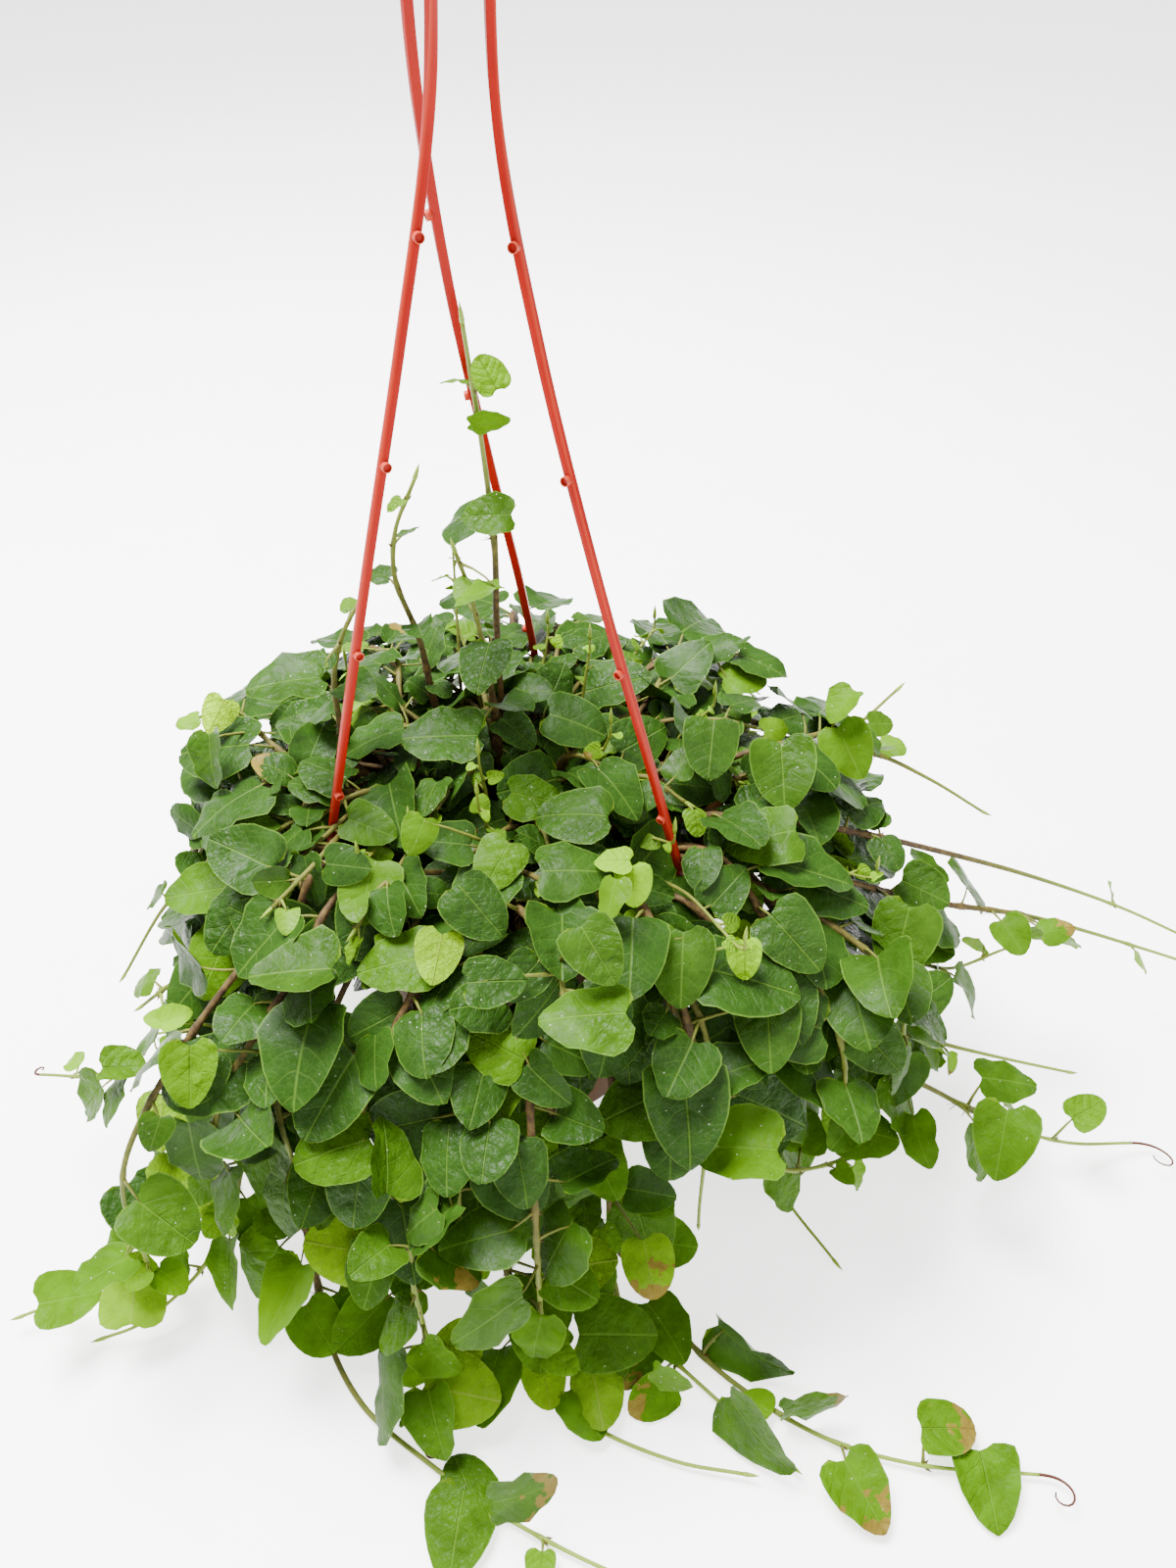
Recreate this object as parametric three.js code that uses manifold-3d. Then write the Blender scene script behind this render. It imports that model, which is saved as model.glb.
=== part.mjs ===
// Creeping fig in a 15 cm plastic hanging pot, standing on a table with its three-armed hanger upright.
// Millimetres, +Z up. The origin is the centre of the pot's underside, so the table top is z = 0.
import * as THREE from "three";
import { mergeVertices } from "three/addons/utils/BufferGeometryUtils.js";
import Module from "manifold-3d";

const wasm = await Module();
wasm.setup();

// Pot
const POT_HEIGHT = 130;
const BASE_R = 52;
const WALL_R = 71;
const WALL = 1.6;
const LIP_R = 77.5;
const LIP_DROP = 10;
const POT_SIDES = 28;
const DRAIN_HOLES = 4;
const DRAIN_R = 3.5;
const DRAIN_CIRCLE = 30;

// Soil
const SOIL_TOP = 114;
const FIT_GAP = 0.3;
const STEM_DEPTH = 14;
const HOLE_R = 3.4;
const HOLE_SIDES = 3;

// Hanger: three bowed arms on a 146 mm circle, a hub and an open hook
const FOOT_CIRCLE = 73.3;
const ARM_WIDTH = 3.3;
const ARM_DEPTH = 2.7;
const ARM_STEPS = 10;
const SLOT = 4.4;
const TOE = 6;
const PLUG = 5;
const NUB_R = 1.5;
const NUB_PROUD = 1.3;
const NUB_FIRST = 44.8;
const NUB_PITCH = 57.5;
const NUBS = 4;
const HUB = { x: -6, y: -12, r: 16, thick: 6 };
const HUB_RISE = 273;
const HOOK_ROD_R = 1.9;
const HOOK_INNER_R = 11;
const HOOK_SHANK = 12;
const HOOK_STEPS = 15;
const HUB_SIDES = 12;
const ARMS = [
  { name: "hanger_arm_left", foot: 200.4, peg: "left",
    points: [[-54, -35, 65], [-39, -31, 126], [-24, -20, 184], [-12, -14, 235], [-8, -23, 273]] },
  { name: "hanger_arm_right", foot: 320.4, peg: "right",
    points: [[41, -54, 67], [25, -42, 129], [12, -25, 185], [4, -12, 234], [4, -8, 273]] },
  { name: "hanger_arm_back", foot: 80.4, peg: "left",
    points: [[6, 48, 64], [-3, 30, 127], [-11, 15, 186], [-15, 3, 237], [-15, -5, 273]] },
];

// Stems and leaves
const SEED = 41;
const STEM_R = 1.2;
const TIP_R = 0.7;
const NODE_HALF = 1.6;
const BARE_STEP = 20;
const SOIL_RING = 5;
// The leaves stand closer towards the tip by this share
const STEP_SHRINK = 0.25;
const BLADE = 0.7;
const PETIOLE_HALF = 0.8;
const GAP = 0.35;
const POSES = 40;
const ROUTE_TRIES = 14;
const RISE = 18;
const RISE_OUT = 5;
const POT_CLEAR = 3;
const LEAF_WIDTH = 0.78;
const LEAF_FOLD = 0.1;
const LEAF_DROOP = 0.16;
const LEAF_WAVE = 0.035;
const YOUNG_LENGTH = 33;
// How a leaf stands. Every aim is a sum of directions, each with its share here. The face turns from
// upwards on the mound to outwards on the hanging side, and the blade bends down from the petiole.
const FACE_AIM = { hangingUp: 0.25, out: 0.25, hangingOut: 0.75, stray: 0.28 };
const PETIOLE_AIM = { side: 0.85, along: 0.4, face: 0.45 };
const BLADE_AIM = { petiole: 0.75, along: 0.25, out: 0.35, down: 0.3, hangingDown: 0.4 };
// Heights over which leaves turn to the hanging stance, and over which they lie down near the table
const HANG_BELOW = 150;
const HANG_OVER = 100;
const LIE_BELOW = 6;
const LIE_OVER = 40;
// The petiole as a share of the blade, and the change from leaf to leaf
const STALK_SHARE = 0.3;
const VARY = { yaw: 0.35, length: 0.2, width: 0.08 };
// Leaves grow smaller over the last part of a stem
const TAPER_FROM = 0.72;
const TAPER_BY = 0.55;
// How far a later pose may turn a leaf, and how much the last one shrinks it
const POSE_TURN = { along: 0.35, face: 0.4, roll: 0.6, pitch: 0.55, yaw: 1, stalk: 0.12, shrink: 0.3 };
const LEAST_BEND = 0.1;
// A slanted upright, so that no stem runs along it
const SLANT = [0.12, 0.07, 1];
// Half outlines from petiole to tip: across as a share of the width, along as a share of the length
const GROWN_OUTLINE = [[0.3, -0.07], [0.5, 0.3], [0.37, 0.68]];
const YOUNG_OUTLINE = [[0.48, 0.2], [0.38, 0.66]];
const RIB = [0, 0.42];

// Stems that can be told apart. Each leaves the soil at the first point; leaf is the length of a grown
// leaf, first and step place the leaves along the stem, and bare is the leafless length at the tip.
const LONG_STEMS = [
  { name: "tall_back", leaf: 23, first: 99, step: 31, bare: 14,
    route: [[4, 32, 116], [-3, 24, 150], [-4, 17, 200], [-3, 15, 234], [-5, 12, 273], [-8, 10, 309]] },
  { name: "tall_left", leaf: 14, first: 70, step: 22, bare: 6,
    route: [[-22, 26, 118], [-28, 22, 160], [-31, 18, 198], [-36, 14, 225], [-34, 12, 243],
      [-26, 10, 262]] },
  { name: "tall_middle", leaf: 19, first: 60, step: 17, bare: 3,
    route: [[-6, 12, 118], [-6, 8, 160], [-9, 4, 205], [-12, 2, 228], [-15, 0, 242]] },
  { name: "arm_side", leaf: 15, first: 60, step: 19, bare: 2,
    route: [[-46, 10, 116], [-58, 6, 150], [-60, 4, 190], [-54, 2, 212], [-46, 2, 226]] },
  { name: "upper_left", leaf: 26, first: 22, step: 25, bare: 3,
    route: [[-42, 0, 116], [-58, 0, 142], [-84, 10, 156], [-105, 32, 160], [-118, 38, 152]] },
  { name: "back_left", leaf: 29, first: 28, step: 27, bare: 24,
    route: [[-52, 4, 116], [-78, 2, 138], [-108, 0, 124], [-128, 4, 100], [-144, 3, 82], [-161, -9, 60]] },
  { name: "back_right", leaf: 28, first: 22, step: 25, bare: 0,
    route: [[24, 38, 116], [40, 44, 148], [68, 52, 160], [88, 57, 155], [104, 61, 140]] },
  { name: "upper_right", leaf: 27, first: 26, step: 26, bare: 14,
    route: [[40, -4, 116], [66, -8, 152], [104, 0, 158], [127, 12, 152], [147, 27, 156]] },
  { name: "bare_right", leaf: 29, first: 34, step: 31, bare: 50,
    route: [[50, 8, 116], [77, 6, 144], [109, 8, 146], [138, 14, 136], [162, 10, 124], [184, 5, 110]] },
  { name: "far_right", leaf: 26, first: 58, step: 37, bare: 34,
    route: [[46, -24, 116], [80, -43, 140], [116, -40, 124], [151, -31, 100], [204, -21, 74], [262, -20, 46],
      [300, -24, 30]] },
  { name: "far_right_twin", leaf: 23, first: 92, step: 44, bare: 40,
    route: [[52, -16, 116], [84, -32, 150], [122, -26, 134], [157, -16, 112], [206, -8, 84], [252, -8, 60],
      [282, -12, 44]] },
  { name: "yellow_right", leaf: 28, first: 32, step: 36, bare: 4,
    route: [[53, -6, 116], [80, -20, 134], [108, -22, 118], [128, -34, 96], [146, -38, 78], [170, -32, 58],
      [200, -18, 50]] },
  { name: "bare_low_right", leaf: 27, first: 30, step: 28, bare: 58,
    route: [[44, -30, 116], [76, -50, 137], [104, -62, 104], [130, -66, 72], [157, -64, 54], [186, -64, 40],
      [214, -66, 30]] },
  { name: "low_right", leaf: 28, first: 32, step: 29, bare: 14,
    route: [[36, -42, 116], [62, -67, 134], [89, -79, 100], [121, -80, 72], [148, -82, 52], [176, -86, 32],
      [210, -88, 14], [240, -86, 6]] },
  { name: "front_right", leaf: 28, first: 28, step: 25, bare: 6,
    route: [[20, -50, 116], [31, -82, 136], [40, -99, 108], [54, -108, 84], [86, -114, 58],
      [124, -102, 46]] },
  { name: "floor_right", leaf: 26, first: 30, step: 31, bare: 22,
    route: [[4, -54, 116], [6, -84, 134], [8, -100, 98], [12, -106, 56], [26, -116, 18], [40, -132, 5],
      [56, -155, 3], [88, -181, 3], [118, -193, 3], [160, -200, 3]] },
  { name: "floor_right_twin", leaf: 25, first: 36, step: 30, bare: 10,
    route: [[12, -46, 116], [20, -82, 138], [26, -104, 92], [24, -118, 42], [28, -138, 8], [46, -156, 3],
      [78, -190, 3]] },
  { name: "floor_middle", leaf: 27, first: 34, step: 29, bare: 16,
    route: [[-6, -52, 116], [-9, -86, 134], [-12, -106, 90], [-13, -120, 42], [-12, -136, 11], [-6, -155, 4],
      [12, -172, 3], [40, -186, 3], [62, -192, 4]] },
  { name: "floor_front", leaf: 27, first: 30, step: 29, bare: 30,
    route: [[-30, -42, 116], [-50, -66, 138], [-68, -86, 114], [-80, -99, 78], [-84, -108, 44],
      [-82, -120, 20],
      [-78, -138, 6], [-65, -160, 3], [-42, -180, 3], [-20, -196, 3], [6, -211, 3], [34, -224, 3]] },
  { name: "floor_inner", leaf: 26, first: 34, step: 27, bare: 2,
    route: [[-18, -48, 116], [-30, -80, 136], [-42, -96, 102], [-48, -106, 58], [-46, -126, 14],
      [-42, -150, 5],
      [-38, -172, 4]] },
  { name: "low_left", leaf: 27, first: 28, step: 28, bare: 16,
    route: [[-40, -28, 116], [-64, -50, 138], [-87, -68, 110], [-99, -80, 78], [-108, -95, 44],
      [-124, -112, 16],
      [-146, -127, 7], [-158, -130, 5]] },
  { name: "tip_left", leaf: 26, first: 30, step: 31, bare: 6,
    route: [[-46, -18, 116], [-74, -38, 138], [-103, -62, 106], [-124, -86, 64], [-142, -104, 32],
      [-162, -116, 16],
      [-188, -121, 8]] },
  { name: "mid_left", leaf: 26, first: 28, step: 27, bare: 10,
    route: [[-50, -9, 116], [-76, -20, 140], [-100, -44, 114], [-122, -56, 80], [-156, -54, 56],
      [-190, -44, 45]] },
  { name: "young_left", leaf: 24, first: 26, step: 24, bare: 2,
    route: [[-36, -8, 116], [-62, -12, 156], [-94, -34, 136], [-118, -46, 108], [-138, -50, 92]] },
];

// The mound between them. Short shoots stand over the soil: the root's greatest radius, how far the shoot
// leans out and how much more the outer ones do, the height and how much lower the outer ones end.
const TOP_SHOOTS = 16;
const TOP = { root: 44, reach: 14, reachMore: 22, height: 166, lower: 24, swing: 0.6, tip: 16 };
// Each new attempt turns the shoot on and lowers it.
const TOP_RETRY = { turn: 0.16, lower: 2 };
// The other stems arch over the rim and hang: each figure and its greatest draw beyond it.
const SKIRT_STEMS = 12;
const SKIRT = {
  root: 34, rootMore: 20, overRim: 84, crest: 144, crestMore: 14, reach: 112, reachMore: 20,
  low: 20, lowMore: 54, swing: 0.3,
};
const SKIRT_RETRY = 0.05;
const SKIRT_CROWD = 1.2;
const TRAIL_EVERY = 4;
// A trailing one goes on from its low point: radii beyond the reach, and heights over the table
const TRAIL = { bend: 38, foot: 16, footHeight: 9, tip: 44, tipHeight: 3 };
const TOP_HABIT = { leaf: 27, first: 15, step: 17.5, bare: 0 };
const SKIRT_HABIT = { leaf: 28, first: 42, step: 27, bare: 0 };
const GOLDEN_ANGLE = Math.PI * (3 - Math.sqrt(5));

const MATERIALS = {
  pot: new THREE.MeshStandardMaterial({ color: 0xa84836, roughness: 0.55, metalness: 0 }),
  soil: new THREE.MeshStandardMaterial({ color: 0x3a2a20, roughness: 0.95, metalness: 0 }),
  hanger: new THREE.MeshStandardMaterial({ color: 0xcc3f26, roughness: 0.42, metalness: 0 }),
  foliage: new THREE.MeshStandardMaterial({ color: 0x4b7a38, roughness: 0.5, metalness: 0 }),
};

const group = new THREE.Group();
const v3 = (x, y, z) => new THREE.Vector3(x, y, z);
const polar = (r, turn, z) => v3(r * Math.cos(turn), r * Math.sin(turn), z);

// A closed geometry as a solid, and a solid back as a geometry
function solid(geometry) {
  const bare = geometry.index ? geometry.clone() : geometry;
  bare.deleteAttribute("normal");
  bare.deleteAttribute("uv");
  const merged = mergeVertices(bare, 1e-4);
  return new wasm.Manifold(new wasm.Mesh({
    numProp: 3,
    vertProperties: merged.attributes.position.array,
    triVerts: new Uint32Array(merged.index.array),
  }));
}

function surface(body) {
  const mesh = body.getMesh();
  const geometry = new THREE.BufferGeometry();
  geometry.setAttribute("position", new THREE.BufferAttribute(new Float32Array(mesh.vertProperties), 3));
  geometry.setIndex(new THREE.BufferAttribute(new Uint32Array(mesh.triVerts), 1));
  geometry.computeVertexNormals();
  return geometry;
}

function addPiece(name, geometry, material) {
  const mesh = new THREE.Mesh(geometry, material);
  mesh.name = name;
  group.add(mesh);
}

// A profile of [radius, height] pairs turned round the pot's axis
function turned(profile) {
  const lathe = new THREE.LatheGeometry(profile.map(([r, z]) => new THREE.Vector2(r, z)), POT_SIDES);
  return lathe.rotateX(Math.PI / 2);
}

// An upright prism with its axis from one point to another
function rod(radius, sides, from, to) {
  const way = v3().subVectors(to, from);
  const geometry = new THREE.CylinderGeometry(radius, radius, way.length(), sides);
  geometry.applyQuaternion(new THREE.Quaternion().setFromUnitVectors(v3(0, 1, 0), way.clone().normalize()));
  const middle = v3().addVectors(from, to).multiplyScalar(0.5);
  return geometry.translate(middle.x, middle.y, middle.z);
}

// Radius of the pot's outer wall at a height
const wallRadius = (z) => BASE_R + ((WALL_R - BASE_R) * z) / (POT_HEIGHT - WALL);

function makePot() {
  const lipTop = POT_HEIGHT;
  const underLip = POT_HEIGHT - WALL;
  const shell = solid(turned([
    [0, 0],
    [BASE_R, 0],
    [WALL_R, underLip],
    [LIP_R - WALL, underLip],
    [LIP_R - WALL, lipTop - LIP_DROP],
    [LIP_R, lipTop - LIP_DROP],
    [LIP_R, lipTop],
    [WALL_R - WALL, lipTop],
    [BASE_R - WALL, WALL],
    [0, WALL],
  ]));
  let pot = shell;
  for (let i = 0; i < DRAIN_HOLES; i++) {
    const at = polar(DRAIN_CIRCLE, ((i + 0.5) * 2 * Math.PI) / DRAIN_HOLES, 0);
    pot = pot.subtract(solid(rod(DRAIN_R, 10, v3(at.x, at.y, -1), v3(at.x, at.y, WALL + 1))));
  }
  for (const arm of ARMS) {
    const turn = THREE.MathUtils.degToRad(arm.foot);
    const slot = new THREE.BoxGeometry(SLOT, SLOT, 4 * WALL);
    slot.rotateZ(turn);
    const at = polar(FOOT_CIRCLE, turn, POT_HEIGHT);
    pot = pot.subtract(solid(slot.translate(at.x, at.y, at.z)));
  }
  addPiece("pot", surface(pot), MATERIALS.pot);
}

function makeSoil(stems) {
  const bottom = WALL + FIT_GAP;
  const inner = (z) => wallRadius(z) - WALL - 3 * FIT_GAP;
  const edge = [[inner(bottom), bottom], [inner(SOIL_TOP), SOIL_TOP]];
  let soil = solid(turned([[0, bottom], ...edge, [0, SOIL_TOP]]));
  for (const stem of stems) {
    const [low, high] = [stem.line[0], stem.line[1]];
    const way = v3().subVectors(high, low).normalize();
    const from = low.clone().addScaledVector(way, -2 * FIT_GAP);
    const to = high.clone().addScaledVector(way, STEM_DEPTH);
    soil = soil.subtract(solid(rod(HOLE_R, HOLE_SIDES, from, to)));
  }
  addPiece("soil", surface(soil), MATERIALS.soil);
}

// Middle line of an arm's bow, from the rim to the hub
function armCurve({ foot, points }) {
  const turn = THREE.MathUtils.degToRad(foot);
  const end = points.length - 1;
  return new THREE.CatmullRomCurve3([
    polar(FOOT_CIRCLE, turn, POT_HEIGHT + FIT_GAP + ARM_DEPTH / 2),
    ...points.map(([x, y, z], i) => v3(x, y, POT_HEIGHT + z - (i === end ? FIT_GAP : 0))),
  ]);
}

// The arm is a bar with a flat inner face and a rounded outer one. Its toe lies on the lip, its bow
// carries short round pegs on one side, and a plug below the heel stands in the lip's slot.
function makeArm(arm) {
  const curve = armCurve(arm);
  const length = curve.getLength();
  const skin = makeSkin();
  const [w, d] = [ARM_WIDTH / 2, ARM_DEPTH / 2];
  const section = [[-w, -d], [w, -d], [w, 0], [w / 2, d], [-w / 2, d], [-w, 0]];
  const radial = polar(1, THREE.MathUtils.degToRad(arm.foot), 0);
  const up = v3(0, 0, 1);
  const ring = (at, out, side) => section.map(([x, y]) => skin.point(
    at.clone().addScaledVector(side, x).addScaledVector(out, y),
  ));
  const heel = curve.points[0];
  const flank = v3().crossVectors(radial, up);
  const mitre = v3().addVectors(radial, up);
  const rings = [
    ring(heel.clone().addScaledVector(radial, TOE), up, flank),
    ring(heel, mitre, flank),
  ];
  const pegs = Array.from({ length: NUBS }, (_, i) => NUB_FIRST + i * NUB_PITCH);
  const stops = [];
  for (let i = 1; i <= ARM_STEPS; i++) stops.push((i * length) / ARM_STEPS);
  const stations = [...stops.filter((s) => pegs.every((c) => Math.abs(s - c) > 3 * NUB_R)),
    ...pegs.flatMap((c) => [c - NUB_R, c + NUB_R])].sort((a, b) => a - b);
  const openSide = arm.peg === "left" ? 5 : 1;
  stations.forEach((s) => {
    // The top end is cut level, to meet the hub
    const along = s < length ? curve.getTangentAt(s / length) : up;
    const at = curve.getPointAt(s / length);
    const out = v3(at.x - HUB.x, at.y - HUB.y, 0).add(radial);
    out.addScaledVector(along, -out.dot(along)).normalize();
    rings.push(ring(at, out, v3().crossVectors(out, along)));
  });
  for (let i = 0; i + 1 < rings.length; i++) {
    const peg = i > 1 && pegs.some((c) => Math.abs(stations[i - 2] + NUB_R - c) < 1e-6);
    section.forEach((_, k) => {
      const m = (k + 1) % section.length;
      const loop = [rings[i][k], rings[i][m], rings[i + 1][m], rings[i + 1][k]];
      if (peg && k === openSide) skinPeg(skin, loop);
      else skin.quad(...loop);
    });
  }
  skinCap(skin, rings[0].slice().reverse());
  skinCap(skin, rings[rings.length - 1]);
  const plug = rod(w, 6, v3(heel.x, heel.y, POT_HEIGHT - PLUG), heel);
  addPiece(arm.name, surface(solid(skin.geometry()).add(solid(plug))), MATERIALS.hanger);
  return curve;
}

// A flat end, as a fan from the loop's first corner
function skinCap(skin, loop) {
  for (let k = 1; k + 1 < loop.length; k++) skin.triangle(loop[0], loop[k], loop[k + 1]);
}

// A short peg that stands out of an opened side
function skinPeg(skin, loop) {
  const corners = loop.map((i) => skin.points[i]);
  const out = v3().crossVectors(
    v3().subVectors(corners[1], corners[0]),
    v3().subVectors(corners[2], corners[0]),
  ).normalize();
  const far = corners.map((p) => skin.point(p.clone().addScaledVector(out, NUB_PROUD)));
  loop.forEach((near, k) => {
    const m = (k + 1) % 4;
    skin.quad(near, loop[m], far[m], far[k]);
  });
  skinCap(skin, far);
}

function makeHook() {
  const low = POT_HEIGHT + HUB_RISE;
  const top = low + HUB.thick;
  const loop = HOOK_INNER_R + HOOK_ROD_R;
  const centre = v3(HUB.x, HUB.y, top + HOOK_SHANK + loop);
  const points = [v3(HUB.x, HUB.y, top - HOOK_ROD_R), v3(HUB.x, HUB.y, top + HOOK_SHANK / 2)];
  // From straight below the loop, round its far side and down to a tip that leaves the mouth open
  for (let angle = -75; angle >= -300; angle -= 32) {
    const a = THREE.MathUtils.degToRad(angle);
    points.push(v3(centre.x + loop * Math.cos(a), centre.y, centre.z + loop * Math.sin(a)));
  }
  const corner = (turn) => new THREE.Vector2(HOOK_ROD_R * Math.cos(turn), HOOK_ROD_R * Math.sin(turn));
  const rodShape = new THREE.Shape([0, 1, 2, 3, 4, 5].map((i) => corner((i * Math.PI) / 3)));
  const hook = solid(new THREE.ExtrudeGeometry(rodShape, {
    steps: HOOK_STEPS,
    extrudePath: new THREE.CatmullRomCurve3(points),
    bevelEnabled: false,
  }));
  const hub = solid(rod(HUB.r, HUB_SIDES, v3(HUB.x, HUB.y, low), v3(HUB.x, HUB.y, top)));
  addPiece("hanger_hook", surface(hub.add(hook)), MATERIALS.hanger);
}

// A repeatable draw between 0 and 1: the whole numbers that name a place are mixed one after another
function draw(...numbers) {
  let h = SEED;
  for (const n of numbers) {
    h = Math.imul(h ^ (n + 977), 0x9e3779b1);
    h = Math.imul(h ^ (h >>> 15), 0x85ebca6b);
    h ^= h >>> 13;
  }
  return (h >>> 0) / 4294967296;
}

const spread = (...numbers) => 2 * draw(...numbers) - 1;

// Route of a short shoot that rises from the soil and leans outwards over it. The roots are spread
// evenly over the soil by the golden angle, and the outer shoots lean further.
function topRoute(index, attempt) {
  const share = Math.sqrt((index + 0.5) / TOP_SHOOTS);
  const turn = index * GOLDEN_ANGLE + TOP_RETRY.turn * attempt;
  const root = TOP.root * share;
  const reach = root + TOP.reach + TOP.reachMore * share * (1 + draw(index, 2));
  const rise = TOP.height - TOP.lower * draw(index, 3) * share - TOP_RETRY.lower * attempt;
  const swing = turn + TOP.swing * spread(index, 4);
  return [
    polar(root, turn, SOIL_TOP),
    polar(root + 3, turn, SOIL_TOP + STEM_DEPTH),
    polar((root + reach) / 2, (turn + swing) / 2, rise - 7),
    polar(reach, swing, rise),
    polar(reach + TOP.tip, swing, rise - 7),
  ];
}

// Route of a stem that arches over the rim and hangs down the side. They stand closer together at the
// back, where no long stem is told apart, and every fourth one trails on the table.
function skirtRoute(index, attempt) {
  const share = ((index + 0.5) / SKIRT_STEMS) * 2 - 1;
  const step = SKIRT_RETRY * attempt * (attempt % 2 ? 1 : -1);
  const turn = Math.PI / 2 + Math.PI * Math.sign(share) * Math.abs(share) ** SKIRT_CROWD + step;
  const root = SKIRT.root + SKIRT.rootMore * draw(index, 11);
  const crest = SKIRT.crest + SKIRT.crestMore * draw(index, 12);
  const reach = SKIRT.reach + SKIRT.reachMore * draw(index, 13);
  const low = SKIRT.low + SKIRT.lowMore * draw(index, 14);
  const swing = SKIRT.swing * spread(index, 15);
  const trails = index % TRAIL_EVERY === 1;
  const route = [
    polar(root, turn, SOIL_TOP),
    polar(root + RISE_OUT, turn, SOIL_TOP + STEM_DEPTH),
    polar(SKIRT.overRim, turn + swing * 0.3, crest),
    polar(reach, turn + swing * 0.7, (crest + low) / 2 + 16),
    polar(reach + 8, turn + swing, trails ? TRAIL.bend : low),
  ];
  if (trails) {
    route.push(polar(reach + TRAIL.foot, turn + swing, TRAIL.footHeight));
    route.push(polar(reach + TRAIL.tip, turn + 1.2 * swing, TRAIL.tipHeight));
  }
  return route;
}

// Distance from a point to the pot's wall and lip, worked out in the plane through the axis
function potDistance(point) {
  const r = Math.hypot(point.x, point.y);
  const wall = nearest2([r, point.z], [BASE_R, 0], [WALL_R, POT_HEIGHT]);
  const lip = nearest2([r, point.z], [WALL_R, POT_HEIGHT - 1], [LIP_R, POT_HEIGHT - 1]);
  const drop = nearest2([r, point.z], [LIP_R, POT_HEIGHT - 1], [LIP_R, POT_HEIGHT - LIP_DROP]);
  return Math.min(wall, lip, drop);
}

function nearest2([x, y], [ax, ay], [bx, by]) {
  const [dx, dy] = [bx - ax, by - ay];
  const t = THREE.MathUtils.clamp(((x - ax) * dx + (y - ay) * dy) / (dx * dx + dy * dy), 0, 1);
  return Math.hypot(x - ax - t * dx, y - ay - t * dy);
}

const insidePot = (point) => Math.hypot(point.x, point.y) < wallRadius(point.z) && point.z < POT_HEIGHT;
const inSoil = (point, margin) => insidePot(point) && point.z < SOIL_TOP + margin;

// Bounding ball of a list of points
function ball(points) {
  const centre = v3();
  points.forEach((p) => centre.add(p));
  centre.divideScalar(points.length);
  return { centre, radius: Math.max(...points.map((p) => centre.distanceTo(p))) };
}

const apart = (a, b, gap) => a.centre.distanceTo(b.centre) > a.radius + b.radius + gap;

// A stretch of rod or edge, and a flat face, each with its half thickness
const makeEdge = (a, b, half) => ({ line: new THREE.Line3(a, b), half, ...ball([a, b]) });
const makeFace = (a, b, c, half) => ({ triangle: new THREE.Triangle(a, b, c), half, ...ball([a, b, c]) });

const ray = new THREE.Ray();
const found = v3();

// Whether an edge keeps clear of a face: it doesn't pierce it, and no end or side comes too near
function edgeClearsFace(edge, face) {
  const gap = edge.half + face.half + GAP;
  if (apart(edge, face, gap)) return true;
  const { start, end } = edge.line;
  const { a, b, c } = face.triangle;
  for (const point of [start, end]) {
    face.triangle.closestPointToPoint(point, found);
    if (found.distanceTo(point) < gap) return false;
  }
  ray.origin.copy(start);
  ray.direction.subVectors(end, start).normalize();
  const pierced = ray.intersectTriangle(a, b, c, false, found);
  if (pierced && found.distanceTo(start) < start.distanceTo(end)) return false;
  return [[a, b], [b, c], [c, a]].every(
    ([p, q]) => edge.line.distanceSqToLine3(new THREE.Line3(p, q)) >= gap * gap,
  );
}

function edgesClear(a, b) {
  const gap = a.half + b.half + GAP;
  return apart(a, b, gap) || a.line.distanceSqToLine3(b.line) >= gap * gap;
}

// Whether two things made of rods, edges and faces keep clear of each other
function clear(a, b) {
  if (apart(a, b, 3 * STEM_R)) return true;
  return (
    a.edges.every((edge) => b.faces.every((face) => edgeClearsFace(edge, face))) &&
    b.edges.every((edge) => a.faces.every((face) => edgeClearsFace(edge, face))) &&
    a.rods.every((rodA) => b.rods.every((rodB) => edgesClear(rodA, rodB)))
  );
}

// Rods through a list of points
function rodChain(points, half) {
  const rods = points.slice(1).map((p, i) => makeEdge(points[i], p, half));
  return { rods, edges: rods, faces: [], ...ball(points) };
}

// A stem: its curve, the stations of its rings and the places of its leaves
function growStem(spec) {
  const exit = spec.route[0];
  const buried = v3(exit.x, exit.y, SOIL_TOP - STEM_DEPTH);
  const curve = new THREE.CatmullRomCurve3([buried, ...spec.route]);
  const length = curve.getLength();
  const nodes = [];
  let next = STEM_DEPTH + spec.first;
  while (next < length - spec.bare) {
    nodes.push(next);
    next += spec.step * (1 - STEP_SHRINK * (next / length));
  }
  const stations = [0, STEM_DEPTH + SOIL_RING];
  const firstNode = nodes.length ? nodes[0] : length;
  const bareRing = STEM_DEPTH + SOIL_RING + BARE_STEP;
  for (let s = bareRing; s < firstNode - BARE_STEP / 2; s += BARE_STEP) stations.push(s);
  for (const s of nodes) stations.push(s - NODE_HALF, s + NODE_HALF);
  if (length - stations[stations.length - 1] > 2 * BARE_STEP) {
    stations.push((length + stations[stations.length - 1]) / 2);
  }
  if (length - stations[stations.length - 1] > 2) stations.push(length);
  const line = stations.map((s) => curve.getPointAt(Math.min(1, s / length)));
  return { ...spec, curve, length, nodes, stations, line, leaves: [], chain: rodChain(line, STEM_R) };
}

function stemIsClear(stem, placed) {
  for (let s = STEM_DEPTH + 2; s <= stem.length; s += 3) {
    const p = stem.curve.getPointAt(s / stem.length);
    if (potDistance(p) < POT_CLEAR || p.z < STEM_R + 0.2) return false;
    if (s > STEM_DEPTH + 8 && inSoil(p, 3)) return false;
  }
  return placed.every((other) => clear(stem.chain, other));
}

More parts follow.
